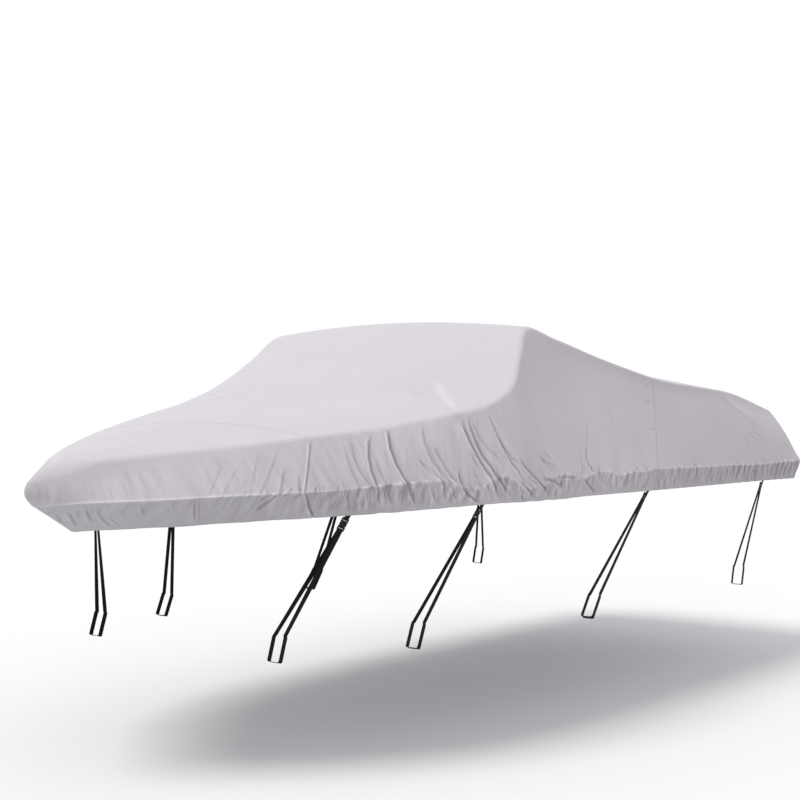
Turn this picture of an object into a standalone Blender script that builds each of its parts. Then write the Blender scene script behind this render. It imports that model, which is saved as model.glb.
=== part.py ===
"""Fitted cloth cover for a small V-hull motor boat, as it lies when it is strapped down.

Metres, +Z up, bow towards -X, port towards -Y. The origin is the underside of the cloth at the
middle of its crest, where the cover is held up. The section table counts `aft` from the stem and
`up` from the cloth's edge line at the stem, and placed() turns both into the part's own frame.
"""

import math

import bmesh
import bpy
import numpy as np
from mathutils import Matrix, Vector

NAME = "boat_cover"
CLOTH = 0.0025  # sheet thickness
GAP = 0.0005  # between sewn panels

CREST_AFT = 2.34  # the crest's middle, aft of the stem
CREST_UP = 0.846  # and above the edge line there

# One row for each section, bow to stern. The edge line runs over the gunwale, the hem hangs below
# it, and the shoulder is where the side wall turns into the top.
SECTION_COLUMNS = (
    "edge_aft", "edge_half", "edge_up", "hem_rake", "hem_tuck", "hem_drop",
    "shoulder_aft", "shoulder_half", "shoulder_up", "top_aft", "top_up", "round", "bulge",
)
SECTIONS = (
    (0.00, 0.000, 0.000, 0.200, 0.000, 0.117, -0.018, 0.000, 0.132, 0.060, 0.180, 0.070, 0.034),
    (0.03, 0.060, 0.004, 0.190, 0.012, 0.117, 0.030, 0.060, 0.148, 0.100, 0.190, 0.060, 0.024),
    (0.12, 0.180, 0.013, 0.175, 0.022, 0.118, 0.160, 0.155, 0.178, 0.215, 0.212, 0.045, 0.014),
    (0.30, 0.375, 0.022, 0.145, 0.028, 0.116, 0.390, 0.328, 0.213, 0.400, 0.246, 0.034, 0.010),
    (0.52, 0.575, 0.036, 0.110, 0.030, 0.113, 0.630, 0.522, 0.240, 0.640, 0.288, 0.030, 0.008),
    (0.78, 0.770, 0.046, 0.080, 0.030, 0.110, 0.900, 0.695, 0.278, 0.900, 0.334, 0.030, 0.006),
    (1.08, 0.920, 0.058, 0.060, 0.030, 0.112, 1.210, 0.865, 0.320, 1.200, 0.386, 0.030, 0.006),
    (1.40, 1.010, 0.064, 0.040, 0.030, 0.110, 1.520, 0.968, 0.372, 1.500, 0.450, 0.030, 0.006),
    (1.70, 1.055, 0.060, 0.030, 0.030, 0.102, 1.800, 1.025, 0.428, 1.760, 0.530, 0.032, 0.006),
    (1.95, 1.075, 0.052, 0.025, 0.030, 0.096, 2.030, 0.990, 0.525, 1.980, 0.640, 0.036, 0.008),
    (2.15, 1.085, 0.050, 0.020, 0.030, 0.096, 2.200, 0.910, 0.663, 2.160, 0.757, 0.038, 0.010),
    (2.34, 1.090, 0.053, 0.018, 0.030, 0.100, 2.370, 0.845, 0.801, 2.340, 0.846, 0.040, 0.010),
    (2.52, 1.092, 0.062, 0.015, 0.030, 0.106, 2.640, 0.840, 0.751, 2.620, 0.834, 0.044, 0.008),
    (2.75, 1.095, 0.067, 0.012, 0.030, 0.112, 2.980, 0.830, 0.688, 2.960, 0.794, 0.048, 0.006),
    (3.25, 1.095, 0.067, 0.010, 0.030, 0.115, 3.660, 0.840, 0.569, 3.660, 0.684, 0.050, 0.006),
    (3.87, 1.095, 0.056, 0.005, 0.030, 0.106, 4.220, 0.860, 0.518, 4.220, 0.616, 0.052, 0.010),
    (4.50, 1.095, 0.050, 0.003, 0.030, 0.102, 4.680, 0.860, 0.482, 4.680, 0.562, 0.055, 0.016),
    (5.14, 1.090, 0.056, 0.000, 0.030, 0.113, 5.140, 0.885, 0.382, 5.140, 0.472, 0.050, 0.019),
)
FORWARD_SEAM_ROW = 5
AFT_SEAM_ROW = 14

# The folds that show on the port side: each runs from its top over a knee to its foot. `girth` is
# measured over the cloth from the edge line, upwards; a negative height is a trough.
FOLD_COLUMNS = (
    "top_aft", "top_girth", "knee_aft", "knee_girth", "foot_aft", "foot_girth", "width", "height",
)
FOLDS = (
    (0.052, -0.01, 0.085, -0.07, 0.119, -0.12, 0.018, -0.004),
    (0.108, -0.01, 0.170, -0.10, 0.234, -0.16, 0.020, -0.004),
    (0.557, 0.150, 0.515, 0.080, 0.472, 0.010, 0.024, -0.004),
    (0.444, -0.02, 0.470, -0.08, 0.503, -0.14, 0.020, -0.004),
    (0.880, 0.250, 0.800, 0.100, 0.755, 0.000, 0.026, 0.006),
    (0.990, 0.270, 0.950, 0.110, 0.930, -0.02, 0.026, -0.005),
    (1.064, 0.280, 1.024, 0.100, 1.009, -0.06, 0.024, -0.007),
    (1.147, 0.290, 1.100, 0.100, 1.139, -0.12, 0.024, -0.008),
    (1.227, 0.300, 1.225, 0.100, 1.323, -0.10, 0.026, -0.009),
    (1.380, 0.290, 1.392, 0.127, 1.463, 0.030, 0.026, -0.006),
    (1.439, 0.300, 1.500, 0.067, 1.560, -0.06, 0.024, 0.006),
    (1.840, 0.745, 1.746, 0.629, 1.568, 0.346, 0.022, 0.005),
    (1.427, 0.140, 1.528, 0.010, 1.680, -0.09, 0.028, -0.009),
    (1.576, 0.290, 1.671, 0.127, 1.854, -0.10, 0.028, -0.011),
    (1.602, 0.150, 1.749, 0.006, 1.886, -0.07, 0.024, 0.007),
    (1.649, 0.280, 1.705, 0.150, 1.892, 0.083, 0.030, -0.008),
    (1.747, 0.360, 1.865, 0.220, 2.235, -0.09, 0.030, -0.010),
    (1.900, 0.420, 2.060, 0.230, 2.300, 0.040, 0.040, 0.007),
    (2.595, 0.170, 2.575, 0.080, 2.555, 0.010, 0.026, -0.005),
    (2.656, 0.000, 2.700, -0.04, 2.740, -0.08, 0.024, -0.007),
    (2.860, 0.010, 2.880, -0.05, 2.900, -0.10, 0.024, -0.006),
    (3.200, 0.000, 3.165, -0.05, 3.136, -0.10, 0.022, -0.007),
    (4.482, 0.520, 4.620, 0.420, 4.740, 0.319, 0.050, 0.008),
)
# Waves that the drawn-in hem leaves in the band below the edge line.
GATHER_COLUMNS = ("aft_from", "aft_to", "pitch", "height")
GATHERS = (
    (0.10, 0.90, 0.150, 0.0020),
    (0.90, 2.60, 0.130, 0.0035),
    (3.30, 4.20, 0.120, 0.0030),
    (4.20, 5.10, 0.105, 0.0060),
)
SAG = 0.003  # slow unevenness of the walls and top
SAG_PITCH = 0.71
STARBOARD_SHIFT = 0.11  # the other side's folds lie this much further forward
STARBOARD_SHARE = 0.8  # and are this much as deep
STARBOARD_REACH = 0.23  # and end this far up the half section, as a share of its girth
STARBOARD_FADE = 0.09
SEAM_CALM = 0.035  # the folds die out this close to a seam
STRAP_CALM = 0.08  # and where a strap pulls the hem taut

STERN_ROUND = 0.055  # radius at which the cloth turns from the sides onto the transom
STERN_TURN_STEPS = 3
STERN_LIP = 0.010  # flat strip between that turn and the transom's seam
TRANSOM_BULGE = 0.02
TRANSOM_TUCK = 0.02
TRANSOM_STEPS = 5

# Steps round each half section: band, wall, shoulder and top.
STEPS = (2, 4, 2, 3)
PITCH_COLUMNS = ("aft_from", "pitch")
PITCHES = ((0.00, 0.050), (0.30, 0.070), (0.78, 0.044), (2.50, 0.060), (3.40, 0.085))

# One row for each tie-down strap of the port side: where it leaves the hem, and the middle of the
# beam that it is looped round, in the part's own frame.
STRAP_COLUMNS = ("hem_aft", "beam_x", "beam_y", "beam_z")
STRAPS = (
    (0.933, -1.518, -0.578, -1.470),
    (1.686, -0.867, -0.823, -1.470),
    (3.199, 0.453, -0.954, -1.470),
    (4.675, 2.185, -0.965, -1.470),
)
BEAM_WIDTH = 0.050
BEAM_HEIGHT = 0.094
BEAM_ROUND = 0.008
WEBBING_WIDTH = 0.025
WEBBING = 0.0016

TAB_SEAT = 0.030  # half the straight stretch of hem that each tab is sewn to
TAB_UNDER_CLOTH = 0.030
TAB_PAST_HEM = 0.008  # still in the cloth's plane, before it bends towards the beam
TAB_BELOW_HEM = 0.010  # from that bend to the bar
TAB_CLEAR = 0.0006  # from the cloth's inner face
TAB_END = 0.008  # turned back behind the bar
STRAND_STEPS = 4

BUCKLE_WIDTH = 0.036
BUCKLE_BAR = 0.004  # bar at each end
BUCKLE_SLOT = 0.0048
BUCKLE_LENGTH = 0.054
BUCKLE_THICKNESS = 0.006
BUCKLE_SLOT_WIDTH = 0.0282
BUCKLE_EDGE = 0.001
BAR_TURN = 0.0047  # centre line of webbing round a bar

MATERIALS = {
    "cover_cloth": ((0.41, 0.40, 0.42, 1.0), 0.65),
    "webbing": ((0.012, 0.012, 0.014, 1.0), 0.70),
    "buckle_plastic": ((0.015, 0.015, 0.017, 1.0), 0.38),
}


def table(columns, rows):
    """A table's columns by name."""
    return dict(zip(columns, np.array(rows, float).T))


def smooth(knots, values, at):
    """Cubic curve through a table's values, with Catmull-Rom slopes."""
    slopes = np.gradient(values, knots)
    k = np.clip(np.searchsorted(knots, at, side="right") - 1, 0, len(knots) - 2)
    step = knots[k + 1] - knots[k]
    f = (at - knots[k]) / step
    return (
        (1 + 2 * f) * (1 - f) ** 2 * values[k]
        + f * (1 - f) ** 2 * step * slopes[k]
        + f * f * (3 - 2 * f) * values[k + 1]
        - f * f * (1 - f) * step * slopes[k + 1]
    )


class Sections:
    """The section table as smooth curves along the edge line's own length."""

    def __init__(self):
        columns = table(SECTION_COLUMNS, SECTIONS)
        step = np.hypot(np.diff(columns["edge_aft"]), np.diff(columns["edge_half"]))
        self.knots = np.concatenate([[0.0], np.cumsum(step)])
        # The table is mirrored about the stem, so that the nose is round and not pointed.
        self.mirrored = np.concatenate([-self.knots[3:0:-1], self.knots])
        self.columns = {}
        for name, column in columns.items():
            sign = -1 if name in ("edge_half", "shoulder_half", "hem_tuck") else 1
            self.columns[name] = np.concatenate([sign * column[3:0:-1], column])
        self.length = self.knots[-1]
        self.seams = (self.knots[FORWARD_SEAM_ROW], self.knots[AFT_SEAM_ROW])
        self.seats = np.array([self.run_of(row[0]) for row in STRAPS])

    def at(self, run):
        """Every column's value at distances along the edge line."""
        return {name: smooth(self.mirrored, values, run) for name, values in self.columns.items()}

    def run_of(self, aft):
        """Distance along the edge line at which it is this far aft."""
        run = np.linspace(0.0, self.length, 600)
        return float(np.interp(aft, self.at(run)["edge_aft"], run))


def placed(aft, half, up):
    """Points of the port side in the part's frame, from table measures."""
    return np.stack([aft - CREST_AFT, -half, up - CREST_UP + CLOTH], axis=-1)


def bezier(start, pull, end, f):
    return (1 - f) ** 2 * start + 2 * f * (1 - f) * pull + f * f * end


def bare_half(sections, run, steps):
    """Port half without folds: a row for each station, a column from the hem to the ridge."""
    band_steps, wall_steps, round_steps, top_steps = steps
    row = sections.at(run)
    edge = placed(row["edge_aft"], row["edge_half"], row["edge_up"])
    hem = placed(
        row["edge_aft"] + row["hem_rake"],
        row["edge_half"] - row["hem_tuck"],
        row["edge_up"] - row["hem_drop"],
    )
    shoulder = placed(row["shoulder_aft"], row["shoulder_half"], row["shoulder_up"])
    crest = placed(row["top_aft"], 0 * row["top_aft"], row["top_up"])
    wall = shoulder - edge
    wall_length = np.linalg.norm(wall, axis=1, keepdims=True)
    side = np.sign(run + 1e-9)[:, None]
    outward = np.stack([0 * run, -wall[:, 2], wall[:, 1]], axis=-1) / wall_length * side
    stem = np.exp(-((row["edge_half"] / 0.10) ** 2))[:, None]
    outward = outward * (1 - stem) + np.array([-1.0, 0.0, 0.0]) * stem
    wall_pull = (edge + shoulder) / 2 + 2 * outward * row["bulge"][:, None]
    top_pull = 0.5 * (shoulder + crest)
    top_pull[:, 2] = crest[:, 2]
    top_length = np.linalg.norm(crest - shoulder, axis=1, keepdims=True)
    fillet = row["round"][:, None]
    wall_end = 1 - np.minimum(fillet, 0.45 * wall_length) / wall_length
    top_start = np.minimum(fillet, 0.45 * top_length) / top_length
    turn_in = bezier(edge, wall_pull, shoulder, wall_end)
    turn_out = bezier(shoulder, top_pull, crest, top_start)
    columns = [hem + (edge - hem) * (i / band_steps) for i in range(band_steps)]
    for i in range(wall_steps):
        columns.append(bezier(edge, wall_pull, shoulder, wall_end * (i / wall_steps)))
    for i in range(round_steps):
        columns.append(bezier(turn_in, shoulder, turn_out, i / round_steps))
    for i in range(top_steps + 1):
        f = top_start + (1 - top_start) * (i / top_steps)
        columns.append(bezier(shoulder, top_pull, crest, f))
    return np.stack(columns, axis=1)


def fold_distance(aft, girth, start, end):
    """Distance over the cloth from points to one straight stretch of a fold."""
    along = np.array(end) - np.array(start)
    f = ((aft - start[0]) * along[0] + (girth - start[1]) * along[1]) / along.dot(along)
    f = np.clip(f, 0.0, 1.0)
    return np.hypot(aft - start[0] - f * along[0], girth - start[1] - f * along[1])


def relief(aft, girth, full_girth):
    """How far the folds, the gathers and the sag lift the cloth along its normal."""
    lift = 0 * aft
    for row in FOLDS:
        fold = dict(zip(FOLD_COLUMNS, row))
        knee = (fold["knee_aft"], fold["knee_girth"])
        upper = fold_distance(aft, girth, (fold["top_aft"], fold["top_girth"]), knee)
        lower = fold_distance(aft, girth, knee, (fold["foot_aft"], fold["foot_girth"]))
        lift += fold["height"] * np.exp(-((np.minimum(upper, lower) / fold["width"]) ** 2))
    band = np.clip(-girth / 0.10, 0.0, 1.0) + 0.5 * np.exp(-((girth / 0.03) ** 2))
    for row in GATHERS:
        wave = dict(zip(GATHER_COLUMNS, row))
        inside = np.clip((aft - wave["aft_from"]) / 0.1, 0, 1) * np.clip((wave["aft_to"] - aft) / 0.1, 0, 1)
        turn = 2 * math.pi * aft / wave["pitch"] + 1.3 * np.sin(5.1 * aft)
        lift += wave["height"] * inside * band * np.sin(turn)
    height = np.clip(girth / full_girth, 0.0, 1.0)
    sway = np.sin(2 * math.pi * aft / SAG_PITCH + 4.0 * height) + 0.6 * np.sin(9.7 * aft + 1.0)
    lift += SAG * 0.6 * sway * np.sin(math.pi * height) ** 2 * np.clip(aft / 0.6, 0, 1)
    return lift


def half_grid(sections, run, steps, shift=0.0, share=1.0, reach=1.0):
    """Port half with its folds, as a row for each station."""
    points = bare_half(sections, run, steps)
    nudge = 0.002
    along = bare_half(sections, run + nudge, steps) - bare_half(sections, run - nudge, steps)
    mirrored = points[:, -2:-1] * np.array([1.0, -1.0, 1.0])
    across = np.concatenate([points, mirrored], axis=1)
    across = np.concatenate(
        [across[:, 1:2] - across[:, 0:1], across[:, 2:] - across[:, :-2]], axis=1
    )
    normal = np.cross(along, across)
    normal /= np.maximum(np.linalg.norm(normal, axis=2, keepdims=True), 1e-9)
    step = np.linalg.norm(np.diff(points, axis=1), axis=2)
    girth = np.concatenate([0 * step[:, :1], np.cumsum(step, axis=1)], axis=1)
    girth -= girth[:, steps[0] : steps[0] + 1]
    aft = points[..., 0] + CREST_AFT
    lift = share * relief(aft + shift, girth, girth[:, -1:])
    if reach < 1.0:
        lift *= np.clip((reach - girth / girth[:, -1:]) / STARBOARD_FADE, 0.0, 1.0)
    for still in (*sections.seams, sections.length):
        lift *= 1 - np.exp(-(((run - still) / SEAM_CALM) ** 2))[:, None]
    for seat in sections.seats:
        pulled = np.exp(-(((run - seat) / STRAP_CALM) ** 4))[:, None]
        lift *= 1 - pulled * np.clip((STRAP_CALM - girth) / STRAP_CALM, 0.0, 1.0)
    lift *= np.clip(run / 0.10, 0.0, 1.0)[:, None]
    return points + normal * lift[..., None]


def side_grid(sections, run, side, steps=STEPS):
    """One side's half, hem to ridge: port is -1, starboard is 1."""
    if side < 0:
        return half_grid(sections, run, steps)
    starboard = half_grid(
        sections, run, steps, STARBOARD_SHIFT, STARBOARD_SHARE, STARBOARD_REACH
    )
    return starboard * np.array([1.0, -1.0, 1.0])


def cover_grid(sections, run, steps=STEPS):
    """Both halves as one grid, port hem to starboard hem."""
    starboard = side_grid(sections, run, 1, steps)[:, -2::-1]
    return np.concatenate([side_grid(sections, run, -1, steps), starboard], axis=1)


def stations(sections, start, end):
    """Distances along the edge line for a panel's rows, closer together where it is creased."""
    pitches = table(PITCH_COLUMNS, PITCHES)
    run = [start]
    while run[-1] < end:
        aft = sections.at(np.array([run[-1]]))["edge_aft"]
        row = np.searchsorted(pitches["aft_from"], aft + 1e-6, side="right") - 1
        run.append(run[-1] + float(pitches["pitch"][row][0]))
    run = start + (np.array(run) - start) * (end - start) / (run[-1] - start)
    ends = np.concatenate([sections.seats - TAB_SEAT, sections.seats + TAB_SEAT])
    apart = np.abs(run[:, None] - sections.seats).min(axis=1) > 1.5 * TAB_SEAT
    apart[[0, -1]] = True
    return np.sort(np.concatenate([run[apart], ends[(ends > start) & (ends < end)]]))


def stern_turn(arch, angle):
    """The stern's arch, carried round the corner onto the transom by this angle."""
    step = np.gradient(arch, axis=0)
    outward = np.stack([0 * step[:, 0], -step[:, 2], step[:, 1]], axis=-1)
    outward /= np.linalg.norm(outward, axis=1, keepdims=True)
    band = STEPS[0] + 1
    outward[:band] = (0.0, -1.0, 0.0)
    outward[-band:] = (0.0, 1.0, 0.0)
    ahead = np.array([STERN_ROUND * math.sin(angle), 0.0, 0.0])
    return arch + ahead - outward * STERN_ROUND * (1 - math.cos(angle)), outward


def material(name):
    found = bpy.data.materials.get(name)
    if found:
        return found
    colour, roughness = MATERIALS[name]
    made = bpy.data.materials.new(name)
    made.use_nodes = True
    shader = made.node_tree.nodes["Principled BSDF"]
    shader.inputs["Base Color"].default_value = colour
    shader.inputs["Roughness"].default_value = roughness
    shader.inputs["Metallic"].default_value = 0.0
    made.diffuse_color = colour
    return made


def add_object(name, mesh, material_name, collection):
    made = bpy.data.objects.new(name, mesh)
    if not mesh.materials:
        mesh.materials.append(material(material_name))
    collection.objects.link(made)
    return made


def grid_mesh(name, points, closed=False):
    """Open surface through a grid of points; closed joins the last row to the first."""
    rows, columns = points.shape[:2]
    faces = []
    for i in range(rows if closed else rows - 1):
        for j in range(columns - 1):
            here, after = i * columns + j, ((i + 1) % rows) * columns + j
            faces.append((here, after, after + 1, here + 1))
    mesh = bpy.data.meshes.new(name)
    mesh.from_pydata([tuple(p) for p in points.reshape(-1, 3)], [], faces)
    work = bmesh.new()
    work.from_mesh(mesh)
    bmesh.ops.remove_doubles(work, verts=work.verts, dist=1e-5)
    bmesh.ops.dissolve_degenerate(work, edges=work.edges, dist=1e-6)
    work.to_mesh(mesh)
    work.free()
    mesh.shade_smooth()
    return mesh


def thicken(made, thickness, offset):
    solid = made.modifiers.new("thickness", "SOLIDIFY")
    solid.thickness = thickness
    solid.offset = offset
    solid.use_even_offset = False
    solid.use_rim = True


def cloth_panel(name, points, collection):
    made = add_object(name, grid_mesh(name, points), "cover_cloth", collection)
    thicken(made, CLOTH, -1.0)
    return made


def add_panels(sections, collection):
    """The three panels that lie across the boat, and the transom panel."""
    forward, aft = sections.seams
    half = GAP / 2
    cloth_panel("bow_panel", cover_grid(sections, stations(sections, 0.0, forward - half)), collection)
    middle = cover_grid(sections, stations(sections, forward + half, aft - half))
    cloth_panel("middle_panel", middle, collection)

    rows = cover_grid(sections, stations(sections, aft + half, sections.length))
    arch = rows[-1]
    turned = []
    for i in range(1, STERN_TURN_STEPS + 1):
        corner, outward = stern_turn(arch, math.pi / 2 * i / STERN_TURN_STEPS)
        turned.append(corner)
    lip = corner - outward * STERN_LIP
    points = np.concatenate([rows, np.stack(turned + [lip])], axis=0)
    cloth_panel("aft_panel", points, collection)
    cloth_panel("transom_panel", transom_grid(lip - outward * GAP), collection)


def transom_grid(outline):
    """The transom's sheet: a row from the hem to the outline for each of its points."""
    band = STEPS[0]
    hem, edge = outline[0], outline[band]
    tops = outline[band : len(outline) - band]
    grid = []
    for i, top in enumerate(tops):
        across = math.sin(math.pi * i / (len(tops) - 1))
        foot = np.array([top[0], top[1] * hem[1] / edge[1], hem[2]])
        column = []
        for k in range(TRANSOM_STEPS + 1):
            f = k / TRANSOM_STEPS
            point = foot + (top - foot) * f
            point[0] += across * (TRANSOM_BULGE * math.sin(math.pi * f) - TRANSOM_TUCK * (1 - f) ** 2)
            column.append(point)
        grid.append(column)
    return np.array(grid)


def strip_along(path, widths):
    """Grid of a flat strip of webbing, from its centre line and its width at each point."""
    path, half = np.array(path), np.array(widths) / 2
    return np.stack([path - half, path + half], axis=1)


def unit(vector):
    return vector / np.linalg.norm(vector)


def arc(centre, first, second, radius, start, end, count):
    """Points of an arc; first and second are its plane's unit axes, and the angles are degrees."""
    points = []
    for i in range(count + 1):
        angle = math.radians(start + (end - start) * i / count)
        points.append(centre + radius * (math.cos(angle) * first + math.sin(angle) * second))
    return points


def hem_frame(sections, seat, side):
    """The hem's outer corner, the cloth's outward normal there and the hem's own direction."""
    band = side_grid(sections, seat + np.array([-TAB_SEAT, TAB_SEAT]), side)
    hem = band[:, 0].mean(axis=0)
    along_hem = unit(band[1, 0] - band[0, 0])
    normal = np.cross(hem - band[:, 1].mean(axis=0), along_hem)
    return hem, facing_out(normal, side), along_hem


def facing_out(vector, side):
    return unit(vector) * side * np.sign(vector[1])


def add_strap(sections, row, side, number, collection, buckle_mesh):
    """One hem tab, its buckle and the strap looped round the beam."""
    strap = dict(zip(STRAP_COLUMNS, row))
    label = ("port" if side < 0 else "starboard") + f"_{number}"
    hem, normal, along_hem = hem_frame(sections, sections.seats[number - 1], side)
    beam = np.array([strap["beam_x"], -side * strap["beam_y"], strap["beam_z"]])
    leave = hem - normal * (CLOTH + TAB_CLEAR + WEBBING / 2)

    # The tab lies flat on the cloth's inner face, in line with the pull, and ends round a bar.
    pull = unit(beam - leave)
    up = -unit(pull - normal * pull.dot(normal))
    leave = leave - up * TAB_PAST_HEM
    pull = unit(beam - leave)
    across = unit(along_hem - pull * along_hem.dot(pull))
    out = facing_out(np.cross(pull, across), side)
    across_up = np.cross(normal, up)
    across_up *= np.sign(across_up.dot(across))
    upper_bar = leave + pull * (TAB_BELOW_HEM + BAR_TURN) - out * BAR_TURN
    sewn = TAB_UNDER_CLOTH + TAB_PAST_HEM
    tab = [leave + up * sewn, leave + up * sewn / 2, leave]
    widths = [across_up] * len(tab)
    tab += arc(upper_bar, out, pull, BAR_TURN, 0.0, 180.0, 6)
    tab.append(tab[-1] - pull * TAB_END)
    widths += [across] * (len(tab) - len(widths))
    mesh = grid_mesh("hem_tab_" + label, strip_along(tab, np.array(widths) * WEBBING_WIDTH))
    thicken(add_object("hem_tab_" + label, mesh, "webbing", collection), WEBBING, 0.0)

    reach = BUCKLE_LENGTH - BUCKLE_BAR
    centre, lower_bar = upper_bar + pull * reach / 2, upper_bar + pull * reach
    buckle = add_object("buckle_" + label, buckle_mesh, "buckle_plastic", collection)
    axes = Matrix((Vector(across), Vector(pull), Vector(np.cross(across, pull)))).transposed()
    buckle.matrix_world = Matrix.Translation(Vector(centre)) @ axes.to_4x4()

    # The loop turns a little on its way, to lie flat on the beam.
    outboard = np.array([0.0, float(side), 0.0])
    upright = np.array([pull[0] / pull[2], 0.0, 1.0])
    across_beam = unit(np.cross(upright, outboard))
    across_beam *= np.sign(across_beam.dot(across))
    top = arc(lower_bar, out, -pull, BAR_TURN, 180.0, 0.0, 4)
    bottom = []
    for right, high, start in ((1, 1, 60.0), (1, -1, 0.0), (-1, -1, -90.0), (-1, 1, -180.0)):
        corner = beam + outboard * right * BEAM_WIDTH / 2 + upright * high * BEAM_HEIGHT / 2
        turn = 90.0 if high < 0 else 60.0
        bottom += arc(corner, outboard, upright, BEAM_ROUND, start, start - turn, 2)
    loop, widths = list(top), [across] * len(top)
    for begin, end, here, there in (
        (top[-1], bottom[0], across, across_beam),
        (bottom[-1], top[0], across_beam, across),
    ):
        for k in range(1, STRAND_STEPS):
            f = k / STRAND_STEPS
            loop.append(begin + (end - begin) * f)
            widths.append(unit(here + (there - here) * f))
        if end is bottom[0]:
            loop += bottom
            widths += [across_beam] * len(bottom)
    mesh = grid_mesh("strap_" + label, strip_along(loop, np.array(widths) * WEBBING_WIDTH), True)
    thicken(add_object("strap_" + label, mesh, "webbing", collection), WEBBING, 0.0)


def make_buckle(cutters):
    """Side-release buckle: a body between two bars, its slots cut through."""
    bpy.ops.mesh.primitive_cube_add(size=1.0)
    body = bpy.context.object
    body.name = "buckle_form"
    body.scale = (BUCKLE_WIDTH, BUCKLE_LENGTH, BUCKLE_THICKNESS)
    bpy.ops.object.transform_apply(scale=True)
    edge = body.modifiers.new("edge", "BEVEL")
    edge.width = BUCKLE_EDGE
    edge.segments = 1
    offset = BUCKLE_LENGTH / 2 - BUCKLE_BAR - BUCKLE_SLOT / 2
    cuts = [((0.0, end * offset, 0.0), (BUCKLE_SLOT_WIDTH, BUCKLE_SLOT)) for end in (-1, 1)]
    notch = (BUCKLE_WIDTH * 0.16, BUCKLE_LENGTH * 0.22)
    cuts += [((end * BUCKLE_WIDTH / 2, 0.001, 0.0), notch) for end in (-1, 1)]
    for place, (wide, long) in cuts:
        bpy.ops.mesh.primitive_cube_add(size=1.0, location=place)
        cutter = bpy.context.object
        cutter.scale = (wide, long, 4 * BUCKLE_THICKNESS)
        bpy.ops.object.transform_apply(scale=True)
        cutter.hide_render = True
        cutter.display_type = "WIRE"
        for old in list(cutter.users_collection):
            old.objects.unlink(cutter)
        cutters.objects.link(cutter)
        cut = body.modifiers.new("slot", "BOOLEAN")
        cut.operation = "DIFFERENCE"
        cut.solver = "EXACT"
        cut.object = cutter
    bpy.context.view_layer.update()
    shape = bpy.data.meshes.new_from_object(body.evaluated_get(bpy.context.evaluated_depsgraph_get()))
    shape.name = "buckle"
    bpy.data.objects.remove(body)
    shape.materials.clear()
    return shape


def main():
    for old in list(bpy.data.objects):
        bpy.data.objects.remove(old)
    scene = bpy.context.scene.collection
    collection = bpy.data.collections.new(NAME)
    cutters = bpy.data.collections.new(NAME + "_cutters")
    scene.children.link(collection)
    scene.children.link(cutters)
    sections = Sections()
    add_panels(sections, collection)
    buckle_mesh = make_buckle(cutters)
    for side in (-1, 1):
        for number, row in enumerate(STRAPS, start=1):
            add_strap(sections, row, side, number, collection, buckle_mesh)


if __name__ == "__main__":
    main()
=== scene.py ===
"""Looks of the boat cover: its cloth, seams, stitching, webbing and buckles.

Metres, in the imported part's own frame: +Z up, bow towards -X, port towards -Y. `aft` counts from
the stem, `up` from the cloth's edge line at the stem, and `girth` over the cloth from that line.
"""

import math

import bmesh
import bpy
import numpy as np
from mathutils import Matrix, Vector


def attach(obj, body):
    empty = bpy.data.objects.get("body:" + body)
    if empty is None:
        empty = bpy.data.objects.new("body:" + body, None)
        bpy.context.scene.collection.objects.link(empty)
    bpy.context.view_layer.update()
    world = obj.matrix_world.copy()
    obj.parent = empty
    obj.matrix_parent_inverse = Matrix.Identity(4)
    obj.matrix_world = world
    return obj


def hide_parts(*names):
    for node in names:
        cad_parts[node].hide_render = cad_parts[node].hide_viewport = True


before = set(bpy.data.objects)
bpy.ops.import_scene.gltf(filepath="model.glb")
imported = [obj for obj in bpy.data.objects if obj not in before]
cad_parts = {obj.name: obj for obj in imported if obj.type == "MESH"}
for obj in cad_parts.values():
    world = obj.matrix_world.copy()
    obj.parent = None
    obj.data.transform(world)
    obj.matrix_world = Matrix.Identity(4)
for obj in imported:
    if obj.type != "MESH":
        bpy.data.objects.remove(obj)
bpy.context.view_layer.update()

# ------------------------------- the cover's form: the part's own, but for the nose's first three rows
CLOTH = 0.0025  # the cloth's thickness in the part
GAP = 0.0005  # between panels
CREST_AFT = 2.34  # the origin's place: the crest of the raised middle
CREST_UP = 0.846
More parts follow.
